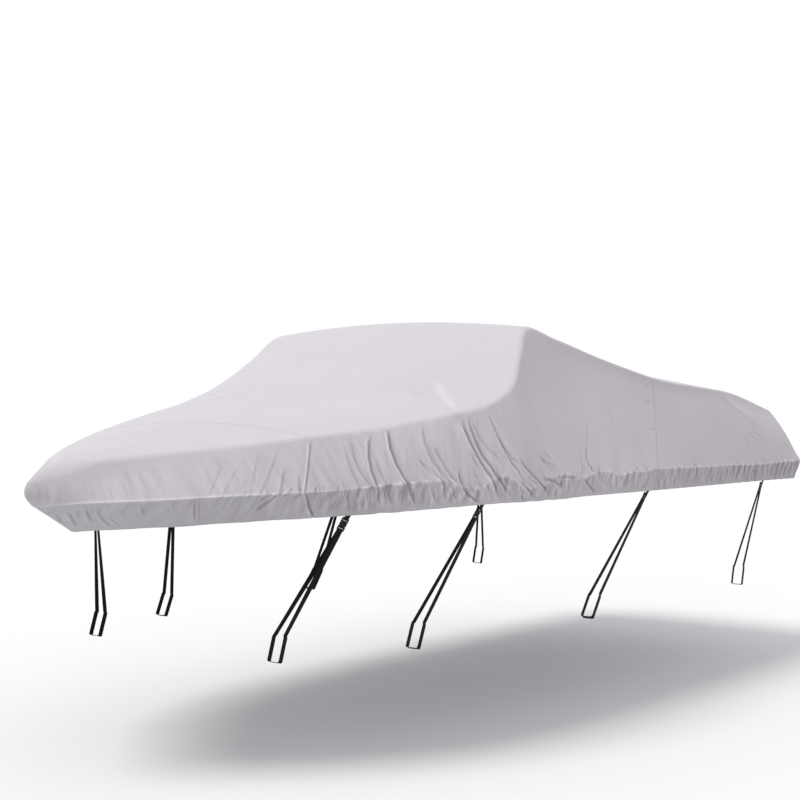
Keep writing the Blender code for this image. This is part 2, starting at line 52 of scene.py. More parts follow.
# A row for each section: the edge line; the hem's rake aft, tuck inward and drop below it; the
# shoulder; the top's middle line; the shoulder's rounding and the wall's bulge.
SECTION_COLUMNS = (
    "edge_aft", "edge_half", "edge_up", "hem_rake", "hem_tuck", "hem_drop",
    "shoulder_aft", "shoulder_half", "shoulder_up", "top_aft", "top_up", "round", "bulge",
)
SECTIONS = (
    (0.00, 0.000, 0.000, 0.200, 0.000, 0.117, 0.075, 0.000, 0.158, 0.160, 0.190, 0.040, 0.078),
    (0.03, 0.060, 0.004, 0.190, 0.012, 0.117, 0.100, 0.056, 0.164, 0.178, 0.198, 0.040, 0.060),
    (0.12, 0.180, 0.013, 0.175, 0.022, 0.118, 0.185, 0.150, 0.183, 0.230, 0.212, 0.040, 0.022),
    (0.30, 0.375, 0.022, 0.145, 0.028, 0.116, 0.390, 0.328, 0.213, 0.400, 0.246, 0.034, 0.010),
    (0.52, 0.575, 0.036, 0.110, 0.030, 0.113, 0.630, 0.522, 0.240, 0.640, 0.288, 0.030, 0.008),
    (0.78, 0.770, 0.046, 0.080, 0.030, 0.110, 0.900, 0.695, 0.278, 0.900, 0.334, 0.030, 0.006),
    (1.08, 0.920, 0.058, 0.060, 0.030, 0.112, 1.210, 0.865, 0.320, 1.200, 0.386, 0.030, 0.006),
    (1.40, 1.010, 0.064, 0.040, 0.030, 0.110, 1.520, 0.968, 0.372, 1.500, 0.450, 0.030, 0.006),
    (1.70, 1.055, 0.060, 0.030, 0.030, 0.102, 1.800, 1.025, 0.428, 1.760, 0.530, 0.032, 0.006),
    (1.95, 1.075, 0.052, 0.025, 0.030, 0.096, 2.030, 0.990, 0.525, 1.980, 0.640, 0.036, 0.008),
    (2.15, 1.085, 0.050, 0.020, 0.030, 0.096, 2.200, 0.910, 0.663, 2.160, 0.757, 0.038, 0.010),
    (2.34, 1.090, 0.053, 0.018, 0.030, 0.100, 2.370, 0.845, 0.801, 2.340, 0.846, 0.040, 0.010),
    (2.52, 1.092, 0.062, 0.015, 0.030, 0.106, 2.640, 0.840, 0.751, 2.620, 0.834, 0.044, 0.008),
    (2.75, 1.095, 0.067, 0.012, 0.030, 0.112, 2.980, 0.830, 0.688, 2.960, 0.794, 0.048, 0.006),
    (3.25, 1.095, 0.067, 0.010, 0.030, 0.115, 3.660, 0.840, 0.569, 3.660, 0.684, 0.050, 0.006),
    (3.87, 1.095, 0.056, 0.005, 0.030, 0.106, 4.220, 0.860, 0.518, 4.220, 0.616, 0.052, 0.010),
    (4.50, 1.095, 0.050, 0.003, 0.030, 0.102, 4.680, 0.860, 0.482, 4.680, 0.562, 0.055, 0.016),
    (5.14, 1.090, 0.056, 0.000, 0.030, 0.113, 5.140, 0.885, 0.382, 5.140, 0.472, 0.050, 0.019),
)
FORWARD_SEAM_ROW = 5
AFT_SEAM_ROW = 14
MIRRORED_ROWS = 3  # about the stem, so that the nose is round and not pointed

# Main folds, each from its top past its knee to its foot.
FOLD_COLUMNS = (
    "top_aft", "top_girth", "knee_aft", "knee_girth", "foot_aft", "foot_girth", "width", "height",
)
FOLDS = (
    (0.052, -0.01, 0.085, -0.07, 0.119, -0.12, 0.018, -0.004),
    (0.108, -0.01, 0.170, -0.10, 0.234, -0.16, 0.020, -0.004),
    (0.557, 0.150, 0.515, 0.080, 0.472, 0.010, 0.024, -0.004),
    (0.444, -0.02, 0.470, -0.08, 0.503, -0.14, 0.020, -0.004),
    (0.880, 0.250, 0.800, 0.100, 0.755, 0.000, 0.026, 0.006),
    (0.990, 0.270, 0.950, 0.110, 0.930, -0.02, 0.026, -0.005),
    (1.064, 0.280, 1.024, 0.100, 1.009, -0.06, 0.024, -0.007),
    (1.147, 0.290, 1.100, 0.100, 1.139, -0.12, 0.024, -0.008),
    (1.227, 0.300, 1.225, 0.100, 1.323, -0.10, 0.026, -0.009),
    (1.380, 0.290, 1.392, 0.127, 1.463, 0.030, 0.026, -0.006),
    (1.439, 0.300, 1.500, 0.067, 1.560, -0.06, 0.024, 0.006),
    (1.840, 0.745, 1.746, 0.629, 1.568, 0.346, 0.022, 0.005),
    (1.427, 0.140, 1.528, 0.010, 1.680, -0.09, 0.028, -0.009),
    (1.576, 0.290, 1.671, 0.127, 1.854, -0.10, 0.028, -0.011),
    (1.602, 0.150, 1.749, 0.006, 1.886, -0.07, 0.024, 0.007),
    (1.649, 0.280, 1.705, 0.150, 1.892, 0.083, 0.030, -0.008),
    (1.747, 0.360, 1.865, 0.220, 2.235, -0.09, 0.030, -0.010),
    (1.900, 0.420, 2.060, 0.230, 2.300, 0.040, 0.040, 0.007),
    (2.595, 0.170, 2.575, 0.080, 2.555, 0.010, 0.026, -0.005),
    (2.656, 0.000, 2.700, -0.04, 2.740, -0.08, 0.024, -0.007),
    (2.860, 0.010, 2.880, -0.05, 2.900, -0.10, 0.024, -0.006),
    (3.200, 0.000, 3.165, -0.05, 3.136, -0.10, 0.022, -0.007),
    (4.482, 0.520, 4.620, 0.420, 4.740, 0.319, 0.050, 0.008),
)
# Waves that the drawn-in hem leaves in the band below the edge line.
GATHER_COLUMNS = ("aft_from", "aft_to", "pitch", "height")
GATHERS = (
    (0.10, 0.90, 0.150, 0.0020),
    (0.90, 2.60, 0.130, 0.0035),
    (3.30, 4.20, 0.120, 0.0030),
    (4.20, 5.10, 0.105, 0.0060),
)
SAG = 0.003  # slow unevenness of the walls and top
SAG_PITCH = 0.71
STARBOARD_SHIFT = 0.11  # the other side's folds lie this much further forward
STARBOARD_SHARE = 0.8  # and are this much as deep
STARBOARD_REACH = 0.23  # and end this far up the half section, as a share of its girth
STARBOARD_FADE = 0.09
FOLD_SHARE = 0.6  # the fine creases below take up the rest

# The columns of every profile: a value by the distance aft.
PROFILE_COLUMNS = ("aft", "value")
# How round the shoulder is shown, as a share of its row's "round".
ROUNDS = (
    (0.00, 1.80), (0.03, 1.40), (0.12, 0.60), (0.78, 0.60), (2.20, 0.80), (2.70, 0.36), (5.20, 0.36),
)
ROUND_LIMIT = 0.45  # of the wall or the top that the rounding may take up
NUDGE = 0.002  # to either side of a station, for the cloth's direction there
STEM_WIDTH = 0.10  # the wall's outward side turns to the front over this much half width
BAND_REACH = 0.10  # the gathers reach full height this far below the edge line
GATHER_ABOVE = 0.5  # and stand this high just above it
GATHER_ABOVE_REACH = 0.03
GATHER_FADE = 0.1
GATHER_SWAY = (1.3, 5.1)  # how far a gather's turn wanders, in radians, and how fast along the boat
SAG_SHARES = (0.6, 0.6)  # of the sag's second wave, and of both
SAG_RATES = (4.0, 9.7)  # radians up the whole half section, and a metre along
SAG_PHASE = 1.0
SAG_FROM = 0.6  # it is full this far aft
BOW_CALM = 0.10  # the folds start over this much of the edge line
MIRROR = np.array([1.0, -1.0, 1.0])
SEAM_CALM = 0.035  # the folds die out this close to a seam
STRAP_CALM = 0.08  # and where a strap pulls the hem taut

STERN_ROUND = 0.055  # radius at which the cloth turns from the sides onto the transom
STERN_TURN_STEPS = 10
STERN_LIP = 0.010  # flat strip between that turn and the transom's seam
TRANSOM_BULGE = 0.02
TRANSOM_TUCK = 0.02
TRANSOM_STEPS = 44
TRANSOM_WAVES = 6  # upright waves, their rates in radians a metre: the first, and how much each adds
TRANSOM_RATES = (34, 13)
TRANSOM_FAN = 3  # radians that they fan out by
TRANSOM_MIDDLE = 2  # the wave that stays upright
TRANSOM_FALL = 0.5  # how much weaker each wave is than the one before
TRANSOM_RUMPLE = 0.0016
TRANSOM_SHARES = (0.25, 0.75)  # of it at the top, and how much more at the hem
TRANSOM_GROWTH = 1.5  # power by which it grows downwards
TRANSOM_SIDES = 0.5  # power by which it dies out at the sides
TRANSOM_CALM = 0.125  # of the height, below the seam
# Painted highlight on the transom's wave crests and painted shade in their troughs.
TRANSOM_PAINTED_LIGHT = 0.12

# Tie-down straps of the port side: where each leaves the hem, and the middle of its beam.
STRAP_COLUMNS = ("hem_aft", "beam_x", "beam_y", "beam_z")
STRAPS = (
    (0.933, -1.518, -0.578, -1.470),
    (1.686, -0.867, -0.823, -1.470),
    (3.199, 0.453, -0.954, -1.470),
    (4.675, 2.185, -0.965, -1.470),
)
BEAM_WIDTH = 0.050
BEAM_HEIGHT = 0.094
BEAM_ROUND = 0.008
WEBBING_WIDTH = 0.025
WEBBING = 0.0016
TAB_SEAT = 0.030  # half the straight stretch of hem that each tab is sewn to
TAB_UNDER_CLOTH = 0.030
TAB_PAST_HEM = 0.008  # still in the cloth's plane, before it bends towards the beam
TAB_BELOW_HEM = 0.010  # from that bend to the bar
TAB_CLEAR = 0.0006  # from the cloth's inner face
TAB_END = 0.008  # turned back behind the bar
# Steps of the webbing's route: sewn on, bent, round the tab's bar, round the strap's bar, down a
# strand, and round a corner of the beam.
SEWN_STEPS = 8
BEND_STEPS = 5
TAB_TURN_STEPS = 14
STRAP_TURN_STEPS = 12
STRAND_STEPS = 60
CORNER_STEPS = 6
STRAND_TURN = 60.0  # degrees that each strand turns at the beam's upper corners
BUCKLE_WIDTH = 0.036
BUCKLE_BAR = 0.004
BUCKLE_SLOT = 0.0048
BUCKLE_LENGTH = 0.054
BUCKLE_THICKNESS = 0.006
BUCKLE_SLOT_WIDTH = 0.0282
BUCKLE_ENDS = ((-1, 0.0044), (1, 0.0050))  # which end, and its thickness
BUCKLE_END_LENGTH = BUCKLE_BAR + BUCKLE_SLOT + 0.002
BUCKLE_EDGE = 0.0012
BODY_LAP = 0.001  # that the body and its two ends share
BODY_NARROWER = 0.0010
BODY_EDGE = 0.0014
SLOT_EDGE = 0.0006
FINE_EDGE = 0.0003
CUT_DEPTH = 0.02
WINDOW_WIDTH = 0.0070
WINDOW_SHARE = 0.52  # of the body's length
WINDOW_OUT = BUCKLE_WIDTH / 2 - 0.0020
ARM_WIDTH = 0.0042
ARM_SHARE = 0.80  # of the window's length
ARM_THICKNESS = 0.0046
ARM_OUT = BUCKLE_WIDTH / 2 - 0.0028
ARM_ALONG = -0.0015
RIB_SIZE = (0.0010, 0.0009, 0.0040)  # the ribs on each arm
RIB_OUT = BUCKLE_WIDTH / 2 - 0.0010
RIB_COUNT = 4
RIB_FIRST = -0.0055
RIB_PITCH = 0.0026
RIDGE_SIZE = (0.0100, 0.0010, 0.0008)  # the ridges on the body's face
RIDGE_COUNT = 3
RIDGE_FIRST = 0.0055
RIDGE_PITCH = 0.0024
SHARP_ANGLE = 38  # degrees
BAR_TURN = 0.0047  # centre line of webbing round a bar

# ------------------------------------------------------------------------- what the looks add to it
# Steps round each half section: band, wall, shoulder and top.
PORT_STEPS = (26, 58, 7, 24)
STARBOARD_STEPS = (9, 20, 5, 24)
EDGE_CROWDING = 1.3  # the steps lie closer together towards the edge line
TOP_CROWDING = 1.35  # and on the top towards the shoulder
PITCH_COLUMNS = ("aft_from", "pitch")
PITCHES = ((0.00, 0.0045), (0.78, 0.0040), (2.40, 0.0080), (3.25, 0.0058), (4.10, 0.0048))
SEAM_ROWS = (0.0015, 0.0035, 0.006, 0.009, 0.0125)  # rows this far from a seam
ROW_CLEAR = 0.002  # and no other row lies this close to them
SEAM_UNDER = (0.003, 0.009)  # rows of the forward panel that lie under the next one
SEAM_DEPTH = 0.0012  # and they lie this much deeper
HEM_FOLD = (0.024, 0.016, 0.008, 0.0)  # the hem's inner layer, by its height above the fold
HEM_TURN = (-0.5, 0.4)  # the fold's lowest point, in thicknesses outward and down

# Profile of how far the break between wall and band wanders up the cloth.
WANDER = (
    (0.00, 0.000), (0.90, 0.000), (1.15, 0.010), (1.34, 0.013), (1.44, 0.018), (1.50, -0.008),
    (1.60, -0.033), (1.67, -0.032), (1.74, 0.010), (1.78, 0.014), (1.83, 0.033), (1.89, 0.014),
    (2.00, -0.040), (2.10, -0.027), (2.17, -0.030), (2.21, -0.003), (2.26, 0.022), (2.355, 0.024),
    (2.45, -0.016), (2.56, -0.006), (2.64, 0.011), (2.77, 0.000), (2.86, -0.028), (3.00, -0.006),
    (3.12, -0.012), (3.23, 0.000), (3.65, 0.000), (4.15, 0.008), (4.50, 0.000), (5.20, 0.000),
)

# Sharp creases of the port side: each is a trough with a lip along its forward side.
CREASE_COLUMNS = (*FOLD_COLUMNS[:-1], "depth")
CREASES = (
    (-0.02, 0.124, -0.015, 0.075, -0.007, 0.026, 0.006, 0.0009),
    (0.005, 0.090, 0.012, 0.050, 0.020, 0.015, 0.006, 0.0007),
    (0.095, 0.070, 0.098, 0.040, 0.103, 0.005, 0.006, 0.0007),
    (0.139, 0.090, 0.140, 0.045, 0.142, 0.005, 0.006, 0.0008),
    (0.187, 0.090, 0.190, 0.050, 0.195, 0.010, 0.006, 0.0008),
    (0.233, 0.095, 0.233, 0.060, 0.235, 0.015, 0.006, 0.0008),
    (0.292, 0.135, 0.292, 0.090, 0.294, 0.040, 0.007, 0.0009),
    (0.550, 0.150, 0.502, 0.066, 0.464, 0.000, 0.007, 0.0012),
    (0.598, 0.140, 0.560, 0.080, 0.523, 0.025, 0.006, 0.0010),
    (0.690, 0.200, 0.645, 0.110, 0.602, 0.018, 0.007, 0.0011),
    (0.777, 0.240, 0.680, 0.080, 0.606, -0.03, 0.007, 0.0016),
    (0.761, 0.140, 0.710, 0.034, 0.690, -0.01, 0.008, 0.0026),
    (0.788, 0.095, 0.770, 0.020, 0.750, -0.04, 0.008, 0.0026),
    (0.081, -0.075, 0.110, -0.12, 0.140, -0.162, 0.006, 0.0022),
    (0.094, -0.050, 0.140, -0.12, 0.185, -0.192, 0.0065, 0.0026),
    (0.110, -0.040, 0.133, -0.08, 0.157, -0.121, 0.0055, 0.0018),
    (0.137, -0.040, 0.170, -0.10, 0.205, -0.152, 0.007, 0.0026),
    (0.166, -0.040, 0.220, -0.13, 0.281, -0.200, 0.0065, 0.0024),
    (0.231, -0.115, 0.264, -0.155, 0.297, -0.188, 0.006, 0.0018),
    (0.430, -0.015, 0.460, -0.09, 0.495, -0.165, 0.006, 0.0028),
    (0.443, -0.015, 0.474, -0.09, 0.505, -0.160, 0.006, 0.0018),
    (0.693, 0.020, 0.668, -0.05, 0.650, -0.100, 0.009, 0.0030),
    (0.667, -0.030, 0.656, -0.06, 0.645, -0.085, 0.007, 0.0022),
    (0.810, -0.050, 0.832, -0.09, 0.862, -0.125, 0.008, 0.0036),
    (0.940, 0.070, 0.941, 0.020, 0.944, -0.020, 0.007, 0.0020),
    (1.007, 0.230, 0.993, 0.100, 1.006, 0.010, 0.008, 0.0020),
    (1.050, 0.262, 1.026, 0.110, 1.064, 0.000, 0.008, 0.0026),
    (1.148, 0.290, 1.076, 0.080, 1.143, -0.118, 0.010, 0.0052),
    (1.115, 0.165, 1.125, 0.020, 1.199, -0.105, 0.008, 0.0026),
    (1.242, 0.345, 1.196, 0.110, 1.327, -0.118, 0.011, 0.0060),
    (1.252, 0.360, 1.200, 0.240, 1.190, 0.120, 0.007, 0.0026),
    (1.385, 0.310, 1.370, 0.150, 1.459, 0.005, 0.011, 0.0034),
    (1.375, 0.226, 1.395, 0.120, 1.440, 0.028, 0.008, 0.0026),
    (1.401, 0.195, 1.445, 0.090, 1.510, 0.000, 0.009, 0.0034),
    (1.357, -0.002, 1.385, -0.05, 1.430, -0.100, 0.007, 0.0028),
    (1.483, -0.015, 1.510, -0.06, 1.544, -0.105, 0.008, 0.0030),
    (1.533, 0.090, 1.560, -0.03, 1.726, -0.112, 0.010, 0.0054),
    (1.606, 0.140, 1.630, 0.100, 1.666, 0.058, 0.008, 0.0026),
    (1.586, 0.320, 1.660, 0.120, 1.853, -0.100, 0.012, 0.0066),
    (1.624, 0.345, 1.700, 0.120, 1.948, -0.100, 0.011, 0.0056),
    (1.637, 0.320, 1.690, 0.200, 1.796, 0.110, 0.008, 0.0026),
    (1.745, 0.350, 1.850, 0.150, 2.044, -0.035, 0.011, 0.0044),
    (1.764, 0.250, 1.870, 0.140, 1.991, 0.075, 0.009, 0.0030),
    (1.890, 0.830, 1.734, 0.591, 1.545, 0.290, 0.026, -0.0016),
    (1.759, 0.810, 1.715, 0.730, 1.672, 0.650, 0.036, 0.0006),
    (1.964, 0.120, 2.070, 0.035, 2.247, -0.100, 0.011, 0.0056),
    (1.943, 0.010, 2.010, -0.03, 2.113, -0.098, 0.010, 0.0044),
    (1.974, -0.065, 2.005, -0.09, 2.042, -0.105, 0.008, 0.0030),
    (2.135, 0.110, 2.200, 0.085, 2.261, 0.060, 0.009, 0.0024),
    (2.150, 0.012, 2.235, -0.01, 2.332, -0.045, 0.010, 0.0034),
    (2.270, 0.014, 2.370, 0.005, 2.481, -0.011, 0.008, 0.0024),
    (2.504, -0.018, 2.570, -0.06, 2.661, -0.110, 0.010, 0.0046),
    (2.620, 0.175, 2.570, 0.070, 2.630, -0.005, 0.010, 0.0034),
    (2.513, 0.120, 2.510, 0.060, 2.510, 0.005, 0.009, 0.0026),
    (2.674, 0.300, 2.640, 0.230, 2.603, 0.163, 0.010, 0.0016),
    (2.994, 0.000, 2.975, -0.04, 2.953, -0.080, 0.009, 0.0038),
    (3.198, -0.005, 3.170, -0.06, 3.138, -0.110, 0.009, 0.0060),
    (3.423, -0.015, 3.455, -0.05, 3.497, -0.090, 0.009, 0.0026),
    (3.675, 0.044, 3.730, -0.03, 3.743, -0.098, 0.009, 0.0030),
    (3.848, 0.000, 3.905, -0.05, 3.966, -0.095, 0.009, 0.0026),
    (4.492, 0.520, 4.594, 0.430, 4.738, 0.330, 0.030, -0.0010),
    (4.463, 0.215, 4.495, 0.175, 4.529, 0.139, 0.008, 0.0024),
    (4.567, 0.240, 4.625, 0.185, 4.685, 0.130, 0.009, 0.0028),
    (4.652, 0.240, 4.710, 0.200, 4.767, 0.156, 0.008, 0.0022),
    (4.442, -0.035, 4.510, -0.045, 4.582, -0.053, 0.008, 0.0026),
    (3.508, 0.602, 3.548, 0.599, 3.588, 0.597, 0.007, 0.0022),
    (3.433, 0.489, 3.466, 0.487, 3.500, 0.486, 0.007, 0.0018),
    (3.366, 0.287, 3.395, 0.286, 3.424, 0.285, 0.006, 0.0024),
    (3.346, 0.259, 3.375, 0.257, 3.404, 0.256, 0.006, 0.0024),
    (3.320, 0.221, 3.350, 0.219, 3.382, 0.218, 0.006, 0.0024),
)
CREASE_THIN = 0.62  # the shown width, as a share of the table's
CREASE_SHARE = 0.8  # and the shown depth
CREASE_REACH = 4  # widths that a crease is felt over
CREASE_FADE = 0.25  # of its length, at each end
LIP_SHARE = 0.4  # of the depth
LIP_AHEAD = 1.7  # widths
LIP_SPREAD = 0.9  # widths
ON_TOP = 0.40  # creases whose knee is this far up the cloth lie on the top
SHOULDER_CALM = 0.035  # the wall's creases and seams die out over this much below the shoulder
CREASE_PAINT_DEPTH = 0.006  # a crease this deep gets its full painted shade and painted highlight
CREASE_PAINT_LIMIT = 1.2
# Painted highlight on a crease's lip, and painted shade in its trough.
LIP_PAINTED_HIGHLIGHT = 0.6
TROUGH_PAINTED_SHADE = 1.5

# Fields of small creases in no strict order.
PUCKER_COLUMNS = (
    "aft_from", "aft_to", "pitch", "top_girth", "spread", "length", "lean", "width", "height",
)
PUCKERS = (
    (0.00, 0.42, 0.034, 0.060, 0.040, 0.070, 0.15, 0.0037, 0.0003),
    (0.05, 0.40, 0.030, -0.030, 0.030, 0.080, 0.60, 0.0032, 0.0009),
    (0.46, 0.80, 0.030, 0.090, 0.060, 0.090, -0.55, 0.0040, 0.0006),
    (0.60, 0.82, 0.024, 0.025, 0.010, 0.050, -0.50, 0.0037, 0.0016),
    (0.82, 0.95, 0.013, 0.028, 0.008, 0.045, -0.35, 0.0031, 0.0018),
    (0.92, 1.45, 0.026, 0.006, 0.012, 0.100, 0.35, 0.0038, 0.0020),
    (0.90, 1.30, 0.030, 0.240, 0.100, 0.120, -0.10, 0.0050, 0.0009),
    (1.30, 2.20, 0.040, 0.090, 0.060, 0.080, 0.75, 0.0050, 0.0016),
    (1.40, 2.30, 0.036, 0.012, 0.020, 0.070, 0.90, 0.0050, 0.0022),
    (2.30, 3.15, 0.048, 0.010, 0.025, 0.070, 0.40, 0.0056, 0.0020),
    (2.48, 2.68, 0.020, 0.040, 0.030, 0.050, -0.30, 0.0043, 0.0022),
    (3.15, 3.32, 0.016, 0.020, 0.015, 0.040, -0.60, 0.0037, 0.0020),
    (3.30, 4.10, 0.030, 0.004, 0.010, 0.090, 0.15, 0.0043, 0.0022),
    (4.05, 5.12, 0.021, 0.006, 0.010, 0.100, 0.12, 0.0037, 0.0036),
    (4.60, 5.10, 0.060, 0.090, 0.120, 0.090, 0.70, 0.0062, 0.0009),
)
# How each pucker differs from its row: the least, and how much more at most.
PUCKER_JOG = 1.4  # pitches
PUCKER_LENGTHS = (0.45, 0.9)
PUCKER_LEANS = (0.6, 0.8)
PUCKER_BOW = 0.25
PUCKER_HEIGHTS = (0.35, 0.9)
PUCKER_WIDTHS = (0.8, 0.5)

# Seeds of each kind of unevenness; the side, -1 or 1, is added.
PUCKER_SEED = 11
STREAK_SEED = 5
BROAD_SEED = 70
CRUSH_SEED = 60
LINE_SEED = 80
EDGE_SEED = 40
TRANSOM_SEED = 3

# Profile of how strong the fine streaks are that run up the wall.
STREAKS = ((0.0, 0.9), (0.6, 0.8), (1.0, 1.0), (1.7, 0.8), (1.95, 0.2), (3.1, 0.08), (5.2, 0.10))
STREAK_COUNT = 30
STREAK_PITCH = (0.07, 0.19)
STREAK_SHARPNESS = 9
STREAK_HEIGHT = 0.0003
# Painted highlight on the streaks' ridges and painted shade in their valleys.
STREAK_PAINTED_LIGHT = 0.13
STREAK_LEAN = 0.12
STREAK_LEANS = (-0.7, 2)
STREAK_SWELLS = ((4, 5), (5, 7))  # radians a metre along and up in which they come and go
STREAK_BEND = 0.4
STREAK_BEND_RATE = 7
RIDGE_SHARE = 0.4  # of the streaks are ridges, the rest are valleys
STREAK_FROM = -0.12  # they start this far above the edge line, over this much cloth
STREAK_RISE = 0.05
STREAK_FADE = 0.08  # and end this far below the shoulder
BROAD_TONE_BANDS = 0.05  # soft upright bands of tone

# The crushed look of the band: flat facets between sharp ridges and valleys. A profile of its
# strength comes first.
CRUSHES = (
    (0.00, 0.10), (0.42, 0.12), (0.60, 0.40), (0.90, 0.60), (1.10, 1.0), (1.50, 1.0), (2.30, 0.9),
    (3.20, 0.7), (4.00, 0.5), (4.15, 0.8), (5.20, 1.0),
)
CRUSH_COUNT = 6
CRUSH_PITCH = (0.026, 0.080)
CRUSH_TURN = 0.45  # radians either side of straight up
CRUSH_HEIGHT = 0.0034
# Painted highlight on the crumples' ridges and painted shade in their valleys.
CRUSH_PAINTED_LIGHT = 0.24
CRUSH_ABOVE = 0.010  # it starts this far above the break, over this much cloth
CRUSH_RISE = 0.012
CRUSH_BEND = 0.4
CRUSH_BEND_RATES = (23, 31)  # radians a metre along and up
CRUSH_SWELL = (0.55, 0.45)  # its mean, and how much it comes and goes
CRUSH_SWELL_RATE = (9, 8)
CRUSH_SWELL_UP = 17
HEM_CALM = 0.3  # the crumples that remain at the hem's foot
HEM_CALM_FROM = 0.012
HEM_CALM_OVER = 0.02
LINE_SCALE = 2.6  # fine upright lines of the band, closer together than the wall's by this much
LINE_SHARPNESS = 4
LINE_HEIGHT = 0.0006
# Painted highlight and painted shade on the band's fine lines.
LINE_PAINTED_LIGHT = 0.20

# Painted shade on the cloth by its place, so that the top shows lightest, the sides darker and the band
# darkest; this profile paints the sides by the distance aft, lighter where it is below nought.
PAINTED_SHADES = (
    (0.00, 0.00), (0.12, -0.03), (0.30, 0.02), (0.80, 0.18), (1.00, 0.18), (1.20, -0.04), (1.40, -0.25),
    (1.90, -0.24), (2.10, -0.04), (2.80, -0.04), (3.70, 0.24), (5.20, 0.28),
)
TALL_PAINTED_SHADE = 0.22  # more on what stands higher than this up the raised middle's wall
TALL_FROM = 0.35
TALL_FULL = 0.65
TALL_END = 3.20  # it fades out this far aft, from here
TALL_FADE = 0.80
RIM_PAINTED_SHADE = 0.24  # more under the shoulder at both ends, over this much cloth
RIM_REACH = 0.09
RIMS = ((0.0, 2.0), (0.15, 1.7), (0.35, 0.7), (0.60, 0.0), (2.4, 0.0), (2.9, 1.0), (5.2, 1.0))
# Painted shade on the band below the edge line, by the distance aft.
BAND_PAINTED_SHADES = (
    (0.00, 0.04), (0.75, 0.05), (0.95, 0.06), (1.15, 0.26), (1.90, 0.28), (2.30, 0.20), (3.60, 0.08),
    (4.40, 0.10), (5.20, 0.24),
)
BAND_PAINTED_SHADE_OVER = 0.008  # the band's tone starts over this much cloth below the break

# Profiles of the height of the bead along the edge, and of how uneven the edge is.
EDGE_BEADS = (
    (0.00, 0.0026), (0.60, 0.0026), (0.80, 0.0012), (1.60, 0.0010), (3.20, 0.0012), (5.20, 0.0022),
)
EDGE_BREAKS = (
    (0.00, 0.0002), (0.75, 0.0008), (1.30, 0.0030), (2.90, 0.0045), (3.30, 0.0020), (5.20, 0.0015),
)
EDGE_BEAD_WIDTH = 0.007
EDGE_BEAD_FULL = 0.003  # a bead this high gets the full painted highlight
# Painted highlight along the edge's bead.
EDGE_PAINTED_HIGHLIGHT = 0.26
EDGE_HIGHLIGHT_LEAST = 0.3
EDGE_BREAK_WIDTH = 0.030
EDGE_BREAK_SCALE = 0.8

# The cloth swells a little round the stern's lower corners.
SWELL = 0.016
SWELL_UP = -0.025
SWELL_SPREAD = 0.065
SWELL_FROM = 4.95
SWELL_FULL = 5.14

HEM_WIDTH = 0.024
HEM_RISE = 0.0008
HEM_EDGE = 0.004  # over which it rises
STRAP_CALM_SHARE = 0.7  # the fine relief is calmed over less of the hem than the folds are
STEM_CALM = 0.05  # the fine relief dies out over this much cloth, from this far beyond the stem
STEM_CALM_AHEAD = 0.02
SEAM_LAP = 0.012
SEAM_LAP_EDGES = (0.003, 0.0015)  # over which it rises and falls
SEAM_RISE = 0.0016
SEAM_GROOVE = 0.0034  # its depth
SEAM_GROOVE_AFT = 0.005
SEAM_GROOVE_WIDTH = 0.006
# Painted highlight on a seam's lap and painted shade in its groove.
SEAM_PAINTED_LIGHT = 0.45
SEAM_TOP_SHARE = 0.03  # of all of these, on the smooth top
SEAM_SHARES = (1.0, 0.4)  # forward and aft seam

HEM_STITCH_UP = 0.020  # above the hem
HEM_STITCH_STEP = 0.012
SEAM_STITCH_OFFSETS = (-0.0095, -0.0035)
STITCH_PITCH = 0.0052
STITCH_LENGTH = 0.0038
STITCH_WIDTH = 0.0009
WELD = 1e-5  # points closer than this are one
SLIVER = 1e-6  # edges shorter than this are dissolved
TINY = 1e-9  # keeps a side or a length from being nought
BLOCK_ROUND = 0.6  # how full a box's rounded edges are

# ------------------------------------------------------------------------------------ the cloth form


def table(columns, rows):
    """A table's columns by name."""
    return dict(zip(columns, np.array(rows, float).T))


def named(columns, rows):
    """A table's rows, each with its values by name."""
    return [dict(zip(columns, row)) for row in rows]


def marks(row):
    """The top, the knee and the foot of a fold or a crease."""
    return [(row[mark + "_aft"], row[mark + "_girth"]) for mark in ("top", "knee", "foot")]


def ramp(value, over):
    """From 0 to 1 while the value grows from 0 to this."""
    return np.clip(value / over, 0.0, 1.0)


def hump(value, width):
    """1 where the value is 0, falling off softly to both sides."""
    return np.exp(-((value / width) ** 2))


def along(rows, at):
    """A value that changes along the boat, read between the rows of its profile."""
    profile = table(PROFILE_COLUMNS, rows)
    return np.interp(at, profile["aft"], profile["value"])


def smooth(knots, values, at):
    """Cubic curve through a table's values, with Catmull-Rom slopes."""
    slopes = np.gradient(values, knots)
    k = np.clip(np.searchsorted(knots, at, side="right") - 1, 0, len(knots) - 2)
    step = knots[k + 1] - knots[k]
    f = (at - knots[k]) / step
    return (
        (1 + 2 * f) * (1 - f) ** 2 * values[k]
        + f * (1 - f) ** 2 * step * slopes[k]
        + f * f * (3 - 2 * f) * values[k + 1]
        - f * f * (1 - f) * step * slopes[k + 1]
    )


